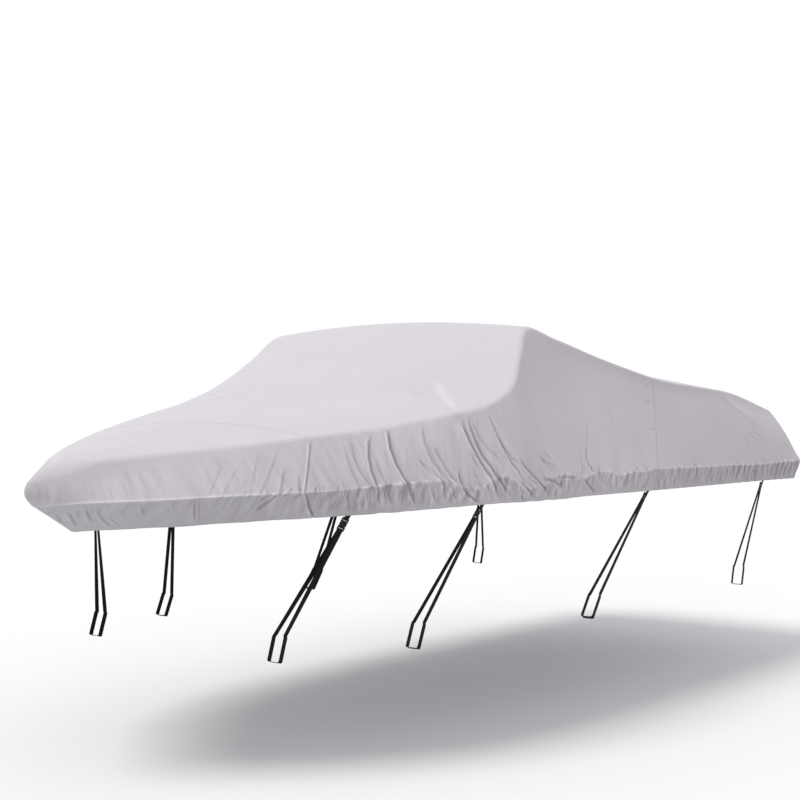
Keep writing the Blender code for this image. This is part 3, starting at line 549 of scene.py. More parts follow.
class Sections:
    """The section table as smooth curves along the edge line's own length."""

    def __init__(self):
        columns = table(SECTION_COLUMNS, SECTIONS)
        step = np.hypot(np.diff(columns["edge_aft"]), np.diff(columns["edge_half"]))
        self.knots = np.concatenate([[0.0], np.cumsum(step)])
        ahead = slice(MIRRORED_ROWS, 0, -1)
        self.mirrored = np.concatenate([-self.knots[ahead], self.knots])
        self.columns = {}
        for name, column in columns.items():
            sign = -1 if name in ("edge_half", "shoulder_half", "hem_tuck") else 1
            self.columns[name] = np.concatenate([sign * column[ahead], column])
        self.length = self.knots[-1]
        self.seams = (self.knots[FORWARD_SEAM_ROW], self.knots[AFT_SEAM_ROW])
        self.seats = np.array([self.run_of(aft) for aft in table(STRAP_COLUMNS, STRAPS)["hem_aft"]])

    def at(self, run):
        """Every column's value at distances along the edge line."""
        return {name: smooth(self.mirrored, values, run) for name, values in self.columns.items()}

    def run_of(self, aft):
        """Distance along the edge line at which it is this far aft."""
        run = np.linspace(0.0, self.length, 600)
        return float(np.interp(aft, self.at(run)["edge_aft"], run))


def placed(aft, half, up):
    """Points of the port side in the part's frame, from table measures."""
    return np.stack([aft - CREST_AFT, -half, up - CREST_UP + CLOTH], axis=-1)


def bezier(start, pull, end, f):
    return (1 - f) ** 2 * start + 2 * f * (1 - f) * pull + f * f * end


def bare_half(sections, run, steps, shift=0.0):
    """Port half without folds: a row for each station, a column from the hem to the ridge."""
    band_steps, wall_steps, round_steps, top_steps = steps
    row = sections.at(run)
    edge = placed(row["edge_aft"], row["edge_half"], row["edge_up"])
    hem = placed(
        row["edge_aft"] + row["hem_rake"],
        row["edge_half"] - row["hem_tuck"],
        row["edge_up"] - row["hem_drop"],
    )
    shoulder = placed(row["shoulder_aft"], row["shoulder_half"], row["shoulder_up"])
    crest = placed(row["top_aft"], 0 * row["top_aft"], row["top_up"])
    rise = along(WANDER, row["edge_aft"] + shift)[:, None]
    up, down = unit_rows(shoulder - edge), unit_rows(hem - edge)
    edge = edge + up * np.maximum(rise, 0.0) + down * np.maximum(-rise, 0.0)
    wall = shoulder - edge
    wall_length = np.linalg.norm(wall, axis=1, keepdims=True)
    side = np.sign(run + TINY)[:, None]
    outward = np.stack([0 * run, -wall[:, 2], wall[:, 1]], axis=-1) / wall_length * side
    stem = hump(row["edge_half"], STEM_WIDTH)[:, None]
    outward = outward * (1 - stem) + np.array([-1.0, 0.0, 0.0]) * stem
    wall_pull = (edge + shoulder) / 2 + 2 * outward * row["bulge"][:, None]
    top_pull = 0.5 * (shoulder + crest)
    top_pull[:, 2] = crest[:, 2]
    top_length = np.linalg.norm(crest - shoulder, axis=1, keepdims=True)
    fillet = (row["round"] * along(ROUNDS, row["edge_aft"]))[:, None]
    wall_end = 1 - np.minimum(fillet, ROUND_LIMIT * wall_length) / wall_length
    top_start = np.minimum(fillet, ROUND_LIMIT * top_length) / top_length
    turn_in = bezier(edge, wall_pull, shoulder, wall_end)
    turn_out = bezier(shoulder, top_pull, crest, top_start)
    columns = []
    for i in range(band_steps):
        columns.append(edge + (hem - edge) * (1 - i / band_steps) ** EDGE_CROWDING)
    for i in range(wall_steps):
        f = wall_end * (i / wall_steps) ** EDGE_CROWDING
        columns.append(bezier(edge, wall_pull, shoulder, f))
    for i in range(round_steps):
        columns.append(bezier(turn_in, shoulder, turn_out, i / round_steps))
    for i in range(top_steps + 1):
        f = top_start + (1 - top_start) * (i / top_steps) ** TOP_CROWDING
        columns.append(bezier(shoulder, top_pull, crest, f))
    return np.stack(columns, axis=1)


def fold_distance(aft, girth, start, end):
    """Distance over the cloth from points to one straight stretch of a fold."""
    run = np.array(end) - np.array(start)
    f = np.clip(((aft - start[0]) * run[0] + (girth - start[1]) * run[1]) / run.dot(run), 0.0, 1.0)
    return np.hypot(aft - start[0] - f * run[0], girth - start[1] - f * run[1])


def main_relief(aft, girth, full_girth):
    """The part's own folds, gathers and sag, along the cloth's normal."""
    lift = 0 * aft
    for fold in named(FOLD_COLUMNS, FOLDS):
        top, knee, foot = marks(fold)
        upper, lower = fold_distance(aft, girth, top, knee), fold_distance(aft, girth, knee, foot)
        lift += fold["height"] * hump(np.minimum(upper, lower), fold["width"])
    band = ramp(-girth, BAND_REACH) + GATHER_ABOVE * hump(girth, GATHER_ABOVE_REACH)
    for wave in named(GATHER_COLUMNS, GATHERS):
        inside = ramp(aft - wave["aft_from"], GATHER_FADE) * ramp(wave["aft_to"] - aft, GATHER_FADE)
        turn = 2 * math.pi * aft / wave["pitch"] + GATHER_SWAY[0] * np.sin(GATHER_SWAY[1] * aft)
        lift += wave["height"] * inside * band * np.sin(turn)
    height = ramp(girth, full_girth)
    sway = np.sin(2 * math.pi * aft / SAG_PITCH + SAG_RATES[0] * height)
    sway += SAG_SHARES[0] * np.sin(SAG_RATES[1] * aft + SAG_PHASE)
    lift += SAG * SAG_SHARES[1] * sway * np.sin(math.pi * height) ** 2 * ramp(aft, SAG_FROM)
    return lift


def crease_path(start, knee, end, count=7):
    """Points of a crease: a smooth curve from its top past its knee to its foot."""
    f = np.linspace(0.0, 1.0, count)[:, None]
    start, knee, end = (np.array(point) for point in (start, knee, end))
    return bezier(start, 2 * knee - (start + end) / 2, end, f)


def add_crease(lift, painted_light_and_tone, aft, girth, path, width, depth):
    """Presses one crease in: a trough with a lip on its forward side, with painted shade in the trough
    and a painted highlight on the lip.
    """
    reach = CREASE_REACH * width
    low, high = path.min(axis=0) - reach, path.max(axis=0) + reach
    near = (aft > low[0]) & (aft < high[0]) & (girth > low[1]) & (girth < high[1])
    if not near.any():
        return
    point = np.stack([aft[near], girth[near]], axis=-1)
    best = np.full(len(point), 1e9)
    signed, place = np.zeros(len(point)), np.zeros(len(point))
    for k in range(len(path) - 1):
        run = path[k + 1] - path[k]
        away = point - path[k]
        f = np.clip(away @ run / run.dot(run), 0.0, 1.0)
        distance = np.linalg.norm(away - f[:, None] * run, axis=1)
        closer = distance < best
        best[closer] = distance[closer]
        side = run[0] * away[:, 1] - run[1] * away[:, 0]
        signed[closer] = (np.sign(side) * distance)[closer]
        place[closer] = ((k + f) / (len(path) - 1))[closer]
    fade = ramp(place, CREASE_FADE) * ramp(1 - place, CREASE_FADE)
    fade = fade * fade * (3 - 2 * fade)
    trough = fade * hump(signed, width)
    lip = fade * hump(signed + LIP_AHEAD * width, LIP_SPREAD * width)
    lift[near] += depth * (LIP_SHARE * lip - trough)
    # Painted shade darkens the trough and a painted highlight lightens the lip.
    painted_light_and_tone[near] += min(depth / CREASE_PAINT_DEPTH, CREASE_PAINT_LIMIT) * (LIP_PAINTED_HIGHLIGHT * lip - TROUGH_PAINTED_SHADE * trough)


def drawn(spread, share):
    """A value drawn from a spread: its least, and how much more at most."""
    return spread[0] + spread[1] * share


def within(ends, share):
    """A value between two ends."""
    return ends[0] + (ends[1] - ends[0]) * share


def random_creases(seed):
    """The fields of puckers, as paths with a width and a depth."""
    chance = np.random.default_rng(seed)
    found = []
    for field in named(PUCKER_COLUMNS, PUCKERS):
        for aft in np.arange(field["aft_from"], field["aft_to"], field["pitch"]):
            jog, rise, size, bow, wide, tall = chance.random(6)
            top = np.array([aft + (jog - 0.5) * PUCKER_JOG * field["pitch"], 0.0])
            top[1] = field["top_girth"] + (2 * rise - 1) * field["spread"]
            length = field["length"] * drawn(PUCKER_LENGTHS, size)
            foot = top + np.array([field["lean"] * length * drawn(PUCKER_LEANS, bow), -length])
            knee = (top + foot) / 2 + np.array([(bow - 0.5) * PUCKER_BOW * length, 0.0])
            width = field["width"] * drawn(PUCKER_WIDTHS, wide)
            height = field["height"] * drawn(PUCKER_HEIGHTS, tall)
            found.append((crease_path(top, knee, foot, 5), width, height))
    return found


def streaks(aft, girth, seed, sharpness=0):
    """Uneven lines that run up the wall: thin ones, or soft waves where sharpness is 0."""
    chance = np.random.default_rng(seed)
    total = 0 * aft
    for _ in range(STREAK_COUNT):
        pitch = within(STREAK_PITCH, chance.random())
        lean = STREAK_LEAN * drawn(STREAK_LEANS, chance.random())
        phase, swell, start = 2 * math.pi * chance.random(3)
        along_rate, up_rate = (drawn(spread, chance.random()) for spread in STREAK_SWELLS)
        slow = np.sin(along_rate * aft + up_rate * girth + swell)
        turn = math.pi * (aft + lean * girth) / pitch + phase
        turn = turn + STREAK_BEND * np.sin(STREAK_BEND_RATE * girth + start)
        if sharpness:
            sign = 1 if chance.random() < RIDGE_SHARE else -1
            total += sign * np.clip(slow, 0, 1) * (1 - np.abs(np.sin(turn))) ** sharpness
        else:
            total += (0.5 + 0.5 * slow) * np.sin(2 * turn) / math.sqrt(STREAK_COUNT / 2)
    return total


def crushed(aft, girth, seed):
    """Crumpled cloth: folded waves in several directions, from about -1 to 1."""
    chance = np.random.default_rng(seed)
    total = 0 * aft
    for _ in range(CRUSH_COUNT):
        turned = CRUSH_TURN * (2 * chance.random() - 1)
        pitch = within(CRUSH_PITCH, chance.random())
        phase, swell, start = 2 * math.pi * chance.random(3)
        across = aft * math.cos(turned) + girth * math.sin(turned)
        bent = CRUSH_BEND * np.sin(CRUSH_BEND_RATES[0] * aft + CRUSH_BEND_RATES[1] * girth + start)
        rate = drawn(CRUSH_SWELL_RATE, chance.random())
        slow = drawn(CRUSH_SWELL, np.sin(rate * aft - CRUSH_SWELL_UP * girth + swell))
        sign = 1 if chance.random() < 0.5 else -1
        saw = across / pitch + (phase + bent) / math.pi
        total += sign * slow * (pitch / CRUSH_PITCH[1]) * (4 * np.abs(saw - np.floor(saw) - 0.5) - 1)
    return total


def calm_straps(lift, sections, run, girth, spread):
    """Lets the relief die out where a strap pulls the hem taut."""
    for seat in sections.seats:
        pulled = np.exp(-(((run - seat) / spread) ** 4))[:, None]
        lift *= 1 - pulled * ramp(STRAP_CALM - girth, STRAP_CALM)


def roughen(lift, painted_light_and_tone, relief, height, tone):
    """Adds one kind of unevenness to the cloth's lift and to its painted light and shade."""
    lift += height * relief
    painted_light_and_tone += tone * relief


def wall_relief(aft, girth, shoulder_girth, side):
    """The creases, puckers and streaks of the wall and the top: their lift and the painted light and
    shade and tone on them.
    """
    lift, painted_light_and_tone, top_lift, top_painted_light = 0 * aft, 0 * aft, 0 * aft, 0 * aft
    for crease in named(CREASE_COLUMNS, CREASES):
        width, depth = CREASE_THIN * crease["width"], CREASE_SHARE * crease["depth"]
        cloth = (lift, painted_light_and_tone) if crease["knee_girth"] < ON_TOP else (top_lift, top_painted_light)
        add_crease(*cloth, aft, girth, crease_path(*marks(crease)), width, depth)
    for path, width, depth in random_creases(PUCKER_SEED + side):
        add_crease(lift, painted_light_and_tone, aft, girth, path, width, depth)
    wall = ramp(girth - STREAK_FROM, STREAK_RISE) * ramp(shoulder_girth - girth, STREAK_FADE)
    wall = along(STREAKS, aft) * wall
    fine = wall * streaks(aft, girth, STREAK_SEED + side, STREAK_SHARPNESS)
    # Painted highlight on the streaks' ridges, painted shade in their valleys.
    roughen(lift, painted_light_and_tone, fine, STREAK_HEIGHT, STREAK_PAINTED_LIGHT)
    # Soft upright bands of tone, at random places.
    painted_light_and_tone += BROAD_TONE_BANDS * wall * streaks(aft, girth, BROAD_SEED + side)
    under = ramp(shoulder_girth - girth, SHOULDER_CALM)
    return lift * under + top_lift, painted_light_and_tone * under + top_painted_light


def add_edge(lift, painted_light_and_tone, aft, girth, above_hem, side):
    """The bead and the uneven line of the edge, with a painted highlight on the bead, and the crushed
    band below it, with painted light and shade on its crumples and painted shade over it.
    """
    break_line = girth - along(WANDER, aft)
    bead = along(EDGE_BEADS, aft)
    ridge = hump(break_line, EDGE_BEAD_WIDTH)
    lift += bead * ridge
    # Painted highlight on the bead.
    painted_light_and_tone += EDGE_PAINTED_HIGHLIGHT * ridge * np.clip(bead / EDGE_BEAD_FULL, EDGE_HIGHLIGHT_LEAST, 1)
    clear_of_hem = np.clip((above_hem - HEM_CALM_FROM) / HEM_CALM_OVER, HEM_CALM, 1)
    below = along(CRUSHES, aft) * (ramp(CRUSH_ABOVE - break_line, CRUSH_RISE) * clear_of_hem)
    # Painted light and shade follow the crumples and the fine lines.
    roughen(lift, painted_light_and_tone, below * crushed(aft, girth, CRUSH_SEED + side), CRUSH_HEIGHT, CRUSH_PAINTED_LIGHT)
    lines = streaks(LINE_SCALE * aft, LINE_SCALE * girth, LINE_SEED + side, LINE_SHARPNESS)
    roughen(lift, painted_light_and_tone, below * lines, LINE_HEIGHT, LINE_PAINTED_LIGHT)
    # Painted shade over the band below the break.
    painted_light_and_tone -= along(BAND_PAINTED_SHADES, aft) * ramp(-break_line, BAND_PAINTED_SHADE_OVER)
    uneven = streaks(EDGE_BREAK_SCALE * aft, 0 * girth, EDGE_SEED + side)
    lift += along(EDGE_BREAKS, aft) * uneven * hump(break_line, EDGE_BREAK_WIDTH)


def add_seams(lift, painted_light_and_tone, sections, run, under):
    """The lap of each seam and the groove behind it, with a painted highlight on the lap and painted
    shade in the groove; under is 1 on the sides and 0 on the top.
    """
    for seam, strength in zip(sections.seams, SEAM_SHARES):
        off = (run - seam)[:, None]
        share = strength * (SEAM_TOP_SHARE + (1 - SEAM_TOP_SHARE) * under)
        lap = ramp(off + SEAM_LAP, SEAM_LAP_EDGES[0]) * ramp(-off, SEAM_LAP_EDGES[1])
        groove = hump(off - SEAM_GROOVE_AFT, SEAM_GROOVE_WIDTH)
        lift += share * (SEAM_RISE * lap - SEAM_GROOVE * groove)
        # Painted highlight on the lap, painted shade in the groove.
        painted_light_and_tone += share * (SEAM_PAINTED_LIGHT * lap - SEAM_PAINTED_LIGHT * groove)


def fine_relief(sections, run, aft, girth, shoulder_girth, side):
    """Creases, puckers, streaks, edge, seams and hem: their lift and the painted light and shade and
    tone on them.
    """
    lift, painted_light_and_tone = wall_relief(aft, girth, shoulder_girth, side)
    above_hem = girth - girth[:, :1]
    add_edge(lift, painted_light_and_tone, aft, girth, above_hem, side)
    under = ramp(shoulder_girth - girth, SHOULDER_CALM)
    add_seams(lift, painted_light_and_tone, sections, run, under)
    corner = ramp(aft - SWELL_FROM, SWELL_FULL - SWELL_FROM) ** 2
    lift += SWELL * corner * hump(girth - SWELL_UP, SWELL_SPREAD)
    lift += HEM_RISE * ramp(HEM_WIDTH - above_hem, HEM_EDGE)
    calm_straps(lift, sections, run, girth, STRAP_CALM_SHARE * STRAP_CALM)
    return lift * ramp(run + STEM_CALM_AHEAD, STEM_CALM)[:, None], painted_light_and_tone


def half_surface(sections, run, side):
    """One side's half with every fold: points, outward normals, girth and painted light and shade, hem
    to ridge.
    """
    steps = PORT_STEPS if side < 0 else STARBOARD_STEPS
    shift, share = (0.0, 1.0) if side < 0 else (STARBOARD_SHIFT, STARBOARD_SHARE)
    points = bare_half(sections, run, steps, shift)
    fore, behind = (bare_half(sections, run + step, steps, shift) for step in (NUDGE, -NUDGE))
    across = np.concatenate([points, points[:, -2:-1] * MIRROR], axis=1)
    across = np.concatenate(
        [across[:, 1:2] - across[:, 0:1], across[:, 2:] - across[:, :-2]], axis=1
    )
    normal = unit_rows(np.cross(fore - behind, across))
    step = np.linalg.norm(np.diff(points, axis=1), axis=2)
    girth = np.concatenate([0 * step[:, :1], np.cumsum(step, axis=1)], axis=1)
    edge_aft = sections.at(run)["edge_aft"] + shift
    girth += along(WANDER, edge_aft)[:, None] - girth[:, steps[0] : steps[0] + 1]
    full = girth[:, -1:]
    aft = points[..., 0] + CREST_AFT + shift
    lift = share * FOLD_SHARE * main_relief(aft, girth, full)
    for still in (*sections.seams, sections.length):
        lift *= 1 - hump(run - still, SEAM_CALM)[:, None]
    calm_straps(lift, sections, run, girth, STRAP_CALM)
    lift *= ramp(run, BOW_CALM)[:, None]
    sides = steps[0] + steps[1]
    shoulder_girth = girth[:, sides : sides + 1]
    fine, painted_light_and_tone = fine_relief(sections, run, aft, girth, shoulder_girth, side)
    faded = np.clip(1 - (np.arange(points.shape[1]) - sides) / steps[2], 0, 1)
    # Painted shade: on the sides by the distance aft, more high up the raised middle's wall, and more
    # just under the shoulder.
    painted_light_and_tone -= along(PAINTED_SHADES, aft) * faded
    tall = ramp(girth - TALL_FROM, TALL_FULL - TALL_FROM)
    painted_light_and_tone -= TALL_PAINTED_SHADE * tall * faded * ramp(TALL_END - aft, TALL_FADE)
    rim = np.clip((girth - shoulder_girth) / RIM_REACH + 1, 0, 1)
    painted_light_and_tone -= RIM_PAINTED_SHADE * along(RIMS, aft) * rim * faded
    lift = lift + share * fine
    if side > 0:
        lift *= ramp(STARBOARD_REACH - girth / full, STARBOARD_FADE)
    points = points + normal * lift[..., None]
    if side > 0:
        points, normal = points * MIRROR, normal * MIRROR
    return points, normal, girth, painted_light_and_tone


def above_the_hem(up, girth, values):
    """Each station's values this far above its hem."""
    height = girth - girth[:, :1]
    return np.array([
        [np.interp(up, height[k], values[k, :, axis]) for axis in range(3)]
        for k in range(len(values))
    ])


def with_hem(points, normals, girth, painted_light_and_tone):
    """A half surface with its hem folded to the inside and up again."""
    inner = [above_the_hem(up, girth, points) - CLOTH * normals[:, 0] for up in HEM_FOLD]
    down = unit_rows(points[:, 0] - points[:, 1])
    inner.append(points[:, 0] + CLOTH * (HEM_TURN[0] * normals[:, 0] + HEM_TURN[1] * down))
    points = np.concatenate([np.stack(inner, axis=1), points], axis=1)
    extra = len(inner)
    normals = np.concatenate([normals[:, :1]] * extra + [normals], axis=1)
    folded = girth[:, :1] - np.array([*HEM_FOLD, 0.0]) - CLOTH
    girth = np.concatenate([folded, girth], axis=1)
    painted_light_and_tone = np.concatenate([0 * painted_light_and_tone[:, :1]] * extra + [painted_light_and_tone], axis=1)
    return points, normals, girth, painted_light_and_tone


def cover_surface(sections, run):
    """Both halves as one grid, port hem to starboard hem, with each point's place on the cloth."""
    port, port_normal, port_girth, port_painted_light_and_tone = with_hem(*half_surface(sections, run, -1))
    found = with_hem(*half_surface(sections, run, 1))
    starboard, starboard_normal, starboard_girth, starboard_painted_light_and_tone = (
        values[:, -2::-1] for values in found
    )
    points = np.concatenate([port, starboard], axis=1)
    normals = np.concatenate([port_normal, starboard_normal], axis=1)
    v = np.concatenate([port_girth, 2 * port_girth[:, -1:] - starboard_girth], axis=1)
    u = np.broadcast_to(run[:, None], v.shape)
    painted_light_and_tone = np.concatenate([port_painted_light_and_tone, starboard_painted_light_and_tone], axis=1)
    return points, normals, np.stack([u, v, painted_light_and_tone], axis=-1)


def stations(sections, start, end):
    """Distances along the edge line for a panel's rows, closer together by the seams."""
    pitches = table(PITCH_COLUMNS, PITCHES)
    run = [start]
    while run[-1] < end:
        aft = sections.at(np.array([run[-1]]))["edge_aft"]
        row = np.searchsorted(pitches["aft_from"], aft + 1e-6, side="right") - 1
        run.append(run[-1] + float(pitches["pitch"][row][0]))
    run = start + (np.array(run) - start) * (end - start) / (run[-1] - start)
    extra = []
    for seam in sections.seams:
        extra += [seam + side * off for off in SEAM_ROWS for side in (-1, 1)]
    extra = np.array([place for place in extra if start < place < end])
    if len(extra):
        apart = np.abs(run[:, None] - extra).min(axis=1) > ROW_CLEAR
        apart[[0, -1]] = True
        run = np.sort(np.concatenate([run[apart], extra]))
    return run


def stern_turn(arch, angle):
    """The stern's arch, carried round the corner onto the transom by this angle."""
    step = np.gradient(arch, axis=0)
    outward = np.stack([0 * step[:, 0], -step[:, 2], step[:, 1]], axis=-1)
    outward /= np.linalg.norm(outward, axis=1, keepdims=True)
    fold = len(HEM_FOLD) + 1
    port_band, starboard_band = PORT_STEPS[0] + 1 + fold, STARBOARD_STEPS[0] + 1 + fold
    outward[:port_band] = (0.0, -1.0, 0.0)
    outward[-starboard_band:] = (0.0, 1.0, 0.0)
    ahead = np.array([STERN_ROUND * math.sin(angle), 0.0, 0.0])
    return arch + ahead - outward * STERN_ROUND * (1 - math.cos(angle)), outward


# ------------------------------------------------------------------------------------------- meshes


def declared(made, stands_for=None):
    """Ties a piece to the frame: its body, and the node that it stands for."""
    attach(made, "root")
    if stands_for:
        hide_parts(stands_for)
    return made


def linked(name, data):
    """A new object, in the scene."""
    made = bpy.data.objects.new(name, data)
    bpy.context.scene.collection.objects.link(made)
    return made


def new_object(name, mesh, material):
    mesh.materials.append(material)
    return linked(name, mesh)


def grid_mesh(name, points, places, closed=False):
    """Surface through a grid of points; closed joins the last row to the first.

    `places` holds each point's two measures over the cloth and, for cloth, its painted light and shade
    and tone.
    """
    rows, columns = points.shape[:2]
    here = np.arange(rows * columns).reshape(rows, columns)
    if closed:
        here = np.concatenate([here, here[:1]], axis=0)
    faces = np.stack([here[:-1, :-1], here[1:, :-1], here[1:, 1:], here[:-1, 1:]], axis=-1)
    faces = faces.reshape(-1, 4)
    mesh = bpy.data.meshes.new(name)
    mesh.from_pydata(points.reshape(-1, 3).tolist(), [], faces.tolist())
    layer = mesh.uv_layers.new(name="cloth")
    measures = places.reshape(rows * columns, -1).astype(np.float32)
    layer.data.foreach_set("uv", measures[faces.ravel(), :2].ravel())
    if measures.shape[1] > 2:
        painted_light_and_tone_layer = mesh.attributes.new("painted_light_and_tone", "FLOAT", "POINT")
        painted_light_and_tone_layer.data.foreach_set("value", np.clip(measures[:, 2], -1.0, 1.0))
    work = bmesh.new()
    work.from_mesh(mesh)
    bmesh.ops.remove_doubles(work, verts=work.verts, dist=WELD)
    bmesh.ops.dissolve_degenerate(work, edges=work.edges, dist=SLIVER)
    work.to_mesh(mesh)
    work.free()
    mesh.shade_smooth()
    return mesh


def cloth_panel(name, points, places, material):
    """The finer cloth in the place of the panel of this name."""
    made = new_object("cloth_" + name, grid_mesh("cloth_" + name, points, places), material)
    return declared(made, name)


def transom_surface(outline):
    """The transom's sheet: a row from the hem to the outline for each of its points."""
    fold = len(HEM_FOLD) + 1
    outline = outline[fold : len(outline) - fold]
    port_band, starboard_band = PORT_STEPS[0], STARBOARD_STEPS[0]
    hem, edge = outline[0], outline[port_band]
    tops = outline[port_band : len(outline) - starboard_band]
    phases = 2 * math.pi * np.random.default_rng(TRANSOM_SEED).random(TRANSOM_WAVES)
    grid, places = [], []
    for i, top in enumerate(tops):
        across = math.sin(math.pi * i / (len(tops) - 1))
        foot = np.array([top[0], top[1] * hem[1] / edge[1], hem[2]])
        for k in range(TRANSOM_STEPS + 1):
            f = k / TRANSOM_STEPS
            point = foot + (top - foot) * f
            point[0] += across * (TRANSOM_BULGE * math.sin(math.pi * f) - TRANSOM_TUCK * (1 - f) ** 2)
            wave = sum(
                math.sin(
                    point[1] * drawn(TRANSOM_RATES, n) + phase + TRANSOM_FAN * f * (n - TRANSOM_MIDDLE)
                ) / (1 + TRANSOM_FALL * n)
                for n, phase in enumerate(phases)
            )
            low = drawn(TRANSOM_SHARES, (1 - f) ** TRANSOM_GROWTH) * min(1.0, (1 - f) / TRANSOM_CALM)
            point[0] += TRANSOM_RUMPLE * wave * across ** TRANSOM_SIDES * low
            grid.append(point)
            # Painted light and shade follow the waves, fading towards the top.
            places.append((point[1], point[2], TRANSOM_PAINTED_LIGHT * wave * (1 - f)))
    shape = (len(tops), TRANSOM_STEPS + 1)
    return np.array(grid).reshape(*shape, 3), np.array(places).reshape(*shape, 3)


def add_panels(sections, material):
    """The three panels that lie across the boat, and the transom panel."""
    forward, aft = sections.seams
    half = GAP / 2
    made = {}
    spans = {
        "bow_panel": (0.0, forward - half),
        "middle_panel": (forward + half, aft - half),
        "aft_panel": (aft + half, sections.length),
    }
    for name, (start, end) in spans.items():
        run = stations(sections, start, end)
        if name != "aft_panel":
            run = np.concatenate([run, end + np.array(SEAM_UNDER)])
        points, normals, places = cover_surface(sections, run)
        if name != "aft_panel":
            under = len(SEAM_UNDER)
            points[-under:] -= SEAM_DEPTH * normals[-under:]
        if name == "aft_panel":
            arch, arch_places = points[-1], places[-1]
            turned, turned_places = [], []
            for i in range(1, STERN_TURN_STEPS + 1):
                angle = math.pi / 2 * i / STERN_TURN_STEPS
                corner, outward = stern_turn(arch, angle)
                turned.append(corner)
                turned_places.append(arch_places + np.array([STERN_ROUND * angle, 0.0, 0.0]))
            turned.append(corner - outward * STERN_LIP)
            turned_places.append(turned_places[-1] + np.array([STERN_LIP, 0.0, 0.0]))
            points = np.concatenate([points, np.stack(turned)], axis=0)
            places = np.concatenate([places, np.stack(turned_places)], axis=0)
            rim = turned[-1] - outward * GAP
        made[name] = cloth_panel(name, points, places, material)
    points, places = transom_surface(rim)
    made["transom_panel"] = cloth_panel("transom_panel", points, places, material)
    return made


# ----------------------------------------------------------------------------------------- stitches


def spaced(path, normals, pitch):
    """Points, directions and normals at an even pitch along a path."""
    step = np.linalg.norm(np.diff(path, axis=0), axis=1)
    run = np.concatenate([[0.0], np.cumsum(step)])
    at = np.arange(pitch / 2, run[-1], pitch)

    def read(values):
        return np.stack([np.interp(at, run, values[:, k]) for k in range(3)], axis=-1)

    ahead = np.stack([np.gradient(path[:, k], run) for k in range(3)], axis=-1)
    return read(path), unit_rows(read(ahead)), unit_rows(read(normals))


def unit_rows(values):
    return values / np.maximum(np.linalg.norm(values, axis=-1, keepdims=True), TINY)


# A stitch: a short thread, thick in its middle, as (along, across, up) of its size.
STITCH_FORM = (
    (-0.5, 0.0, 0.0), (-0.3, -0.5, 0.1), (-0.3, 0.5, 0.1), (-0.3, 0.0, 0.55),
    (0.3, -0.5, 0.1), (0.3, 0.5, 0.1), (0.3, 0.0, 0.55), (0.5, 0.0, 0.0),
)
STITCH_FACES = (
    (0, 1, 3), (0, 3, 2), (0, 2, 1), (1, 4, 6, 3), (3, 6, 5, 2), (2, 5, 4, 1),
    (7, 6, 4), (7, 5, 6), (7, 4, 5),
)


def stitches(name, rows, material):
    """One mesh of stitches along paths, each path with its normals."""
    form = np.array(STITCH_FORM) * np.array([STITCH_LENGTH, STITCH_WIDTH, STITCH_WIDTH])
    points, faces, count = [], [], 0
    for path, normals in rows:
        centre, ahead, up = spaced(path, normals, STITCH_PITCH)
        across = unit_rows(np.cross(up, ahead))
        spots = (
            centre[:, None]
            + form[None, :, :1] * ahead[:, None]
            + form[None, :, 1:2] * across[:, None]
            + form[None, :, 2:] * up[:, None]
        )
        points.append(spots.reshape(-1, 3))
        for _ in range(len(centre)):
            faces += [tuple(count + k for k in face) for face in STITCH_FACES]
            count += len(form)
    mesh = bpy.data.meshes.new(name)
    mesh.from_pydata(np.concatenate(points).tolist(), [], faces)
    mesh.shade_smooth()
    made = new_object(name, mesh, material)
    return declared(made)


def hem_paths(sections):
    """Both hems' stitch lines."""
    run = np.arange(HEM_STITCH_STEP, sections.length, HEM_STITCH_STEP)
    paths = []
    for side in (-1, 1):
        points, normals, girth, _ = half_surface(sections, run, side)
        paths.append([above_the_hem(HEM_STITCH_UP, girth, values) for values in (points, normals)])
    return paths


def seam_paths(sections):
    """Stitch lines across the cover, beside each seam."""
    paths = []
    for seam in sections.seams:
        points, normals, _ = cover_surface(sections, seam + np.array(SEAM_STITCH_OFFSETS))
        paths += zip(points, normals)
    return paths


# ---------------------------------------------------------------------------- webbing and buckles


def unit(vector):
    return vector / np.linalg.norm(vector)


def arc(centre, first, second, radius, start, end, count):
    """Points of an arc; first and second are its plane's unit axes, and the angles are degrees."""
    points = []
    for i in range(count + 1):
        angle = math.radians(start + (end - start) * i / count)
        points.append(centre + radius * (math.cos(angle) * first + math.sin(angle) * second))
    return points


def facing_out(vector, side):
    return unit(vector) * side * np.sign(vector[1])


# Half of a webbing's cross-section, from one edge to the other, as shares of width and thickness.
WEBBING_PROFILE = (
    (-0.5, 0.0), (-0.485, 0.34), (-0.44, 0.5), (-0.25, 0.46), (0.0, 0.45), (0.25, 0.46),
    (0.44, 0.5), (0.485, 0.34), (0.5, 0.0),
)


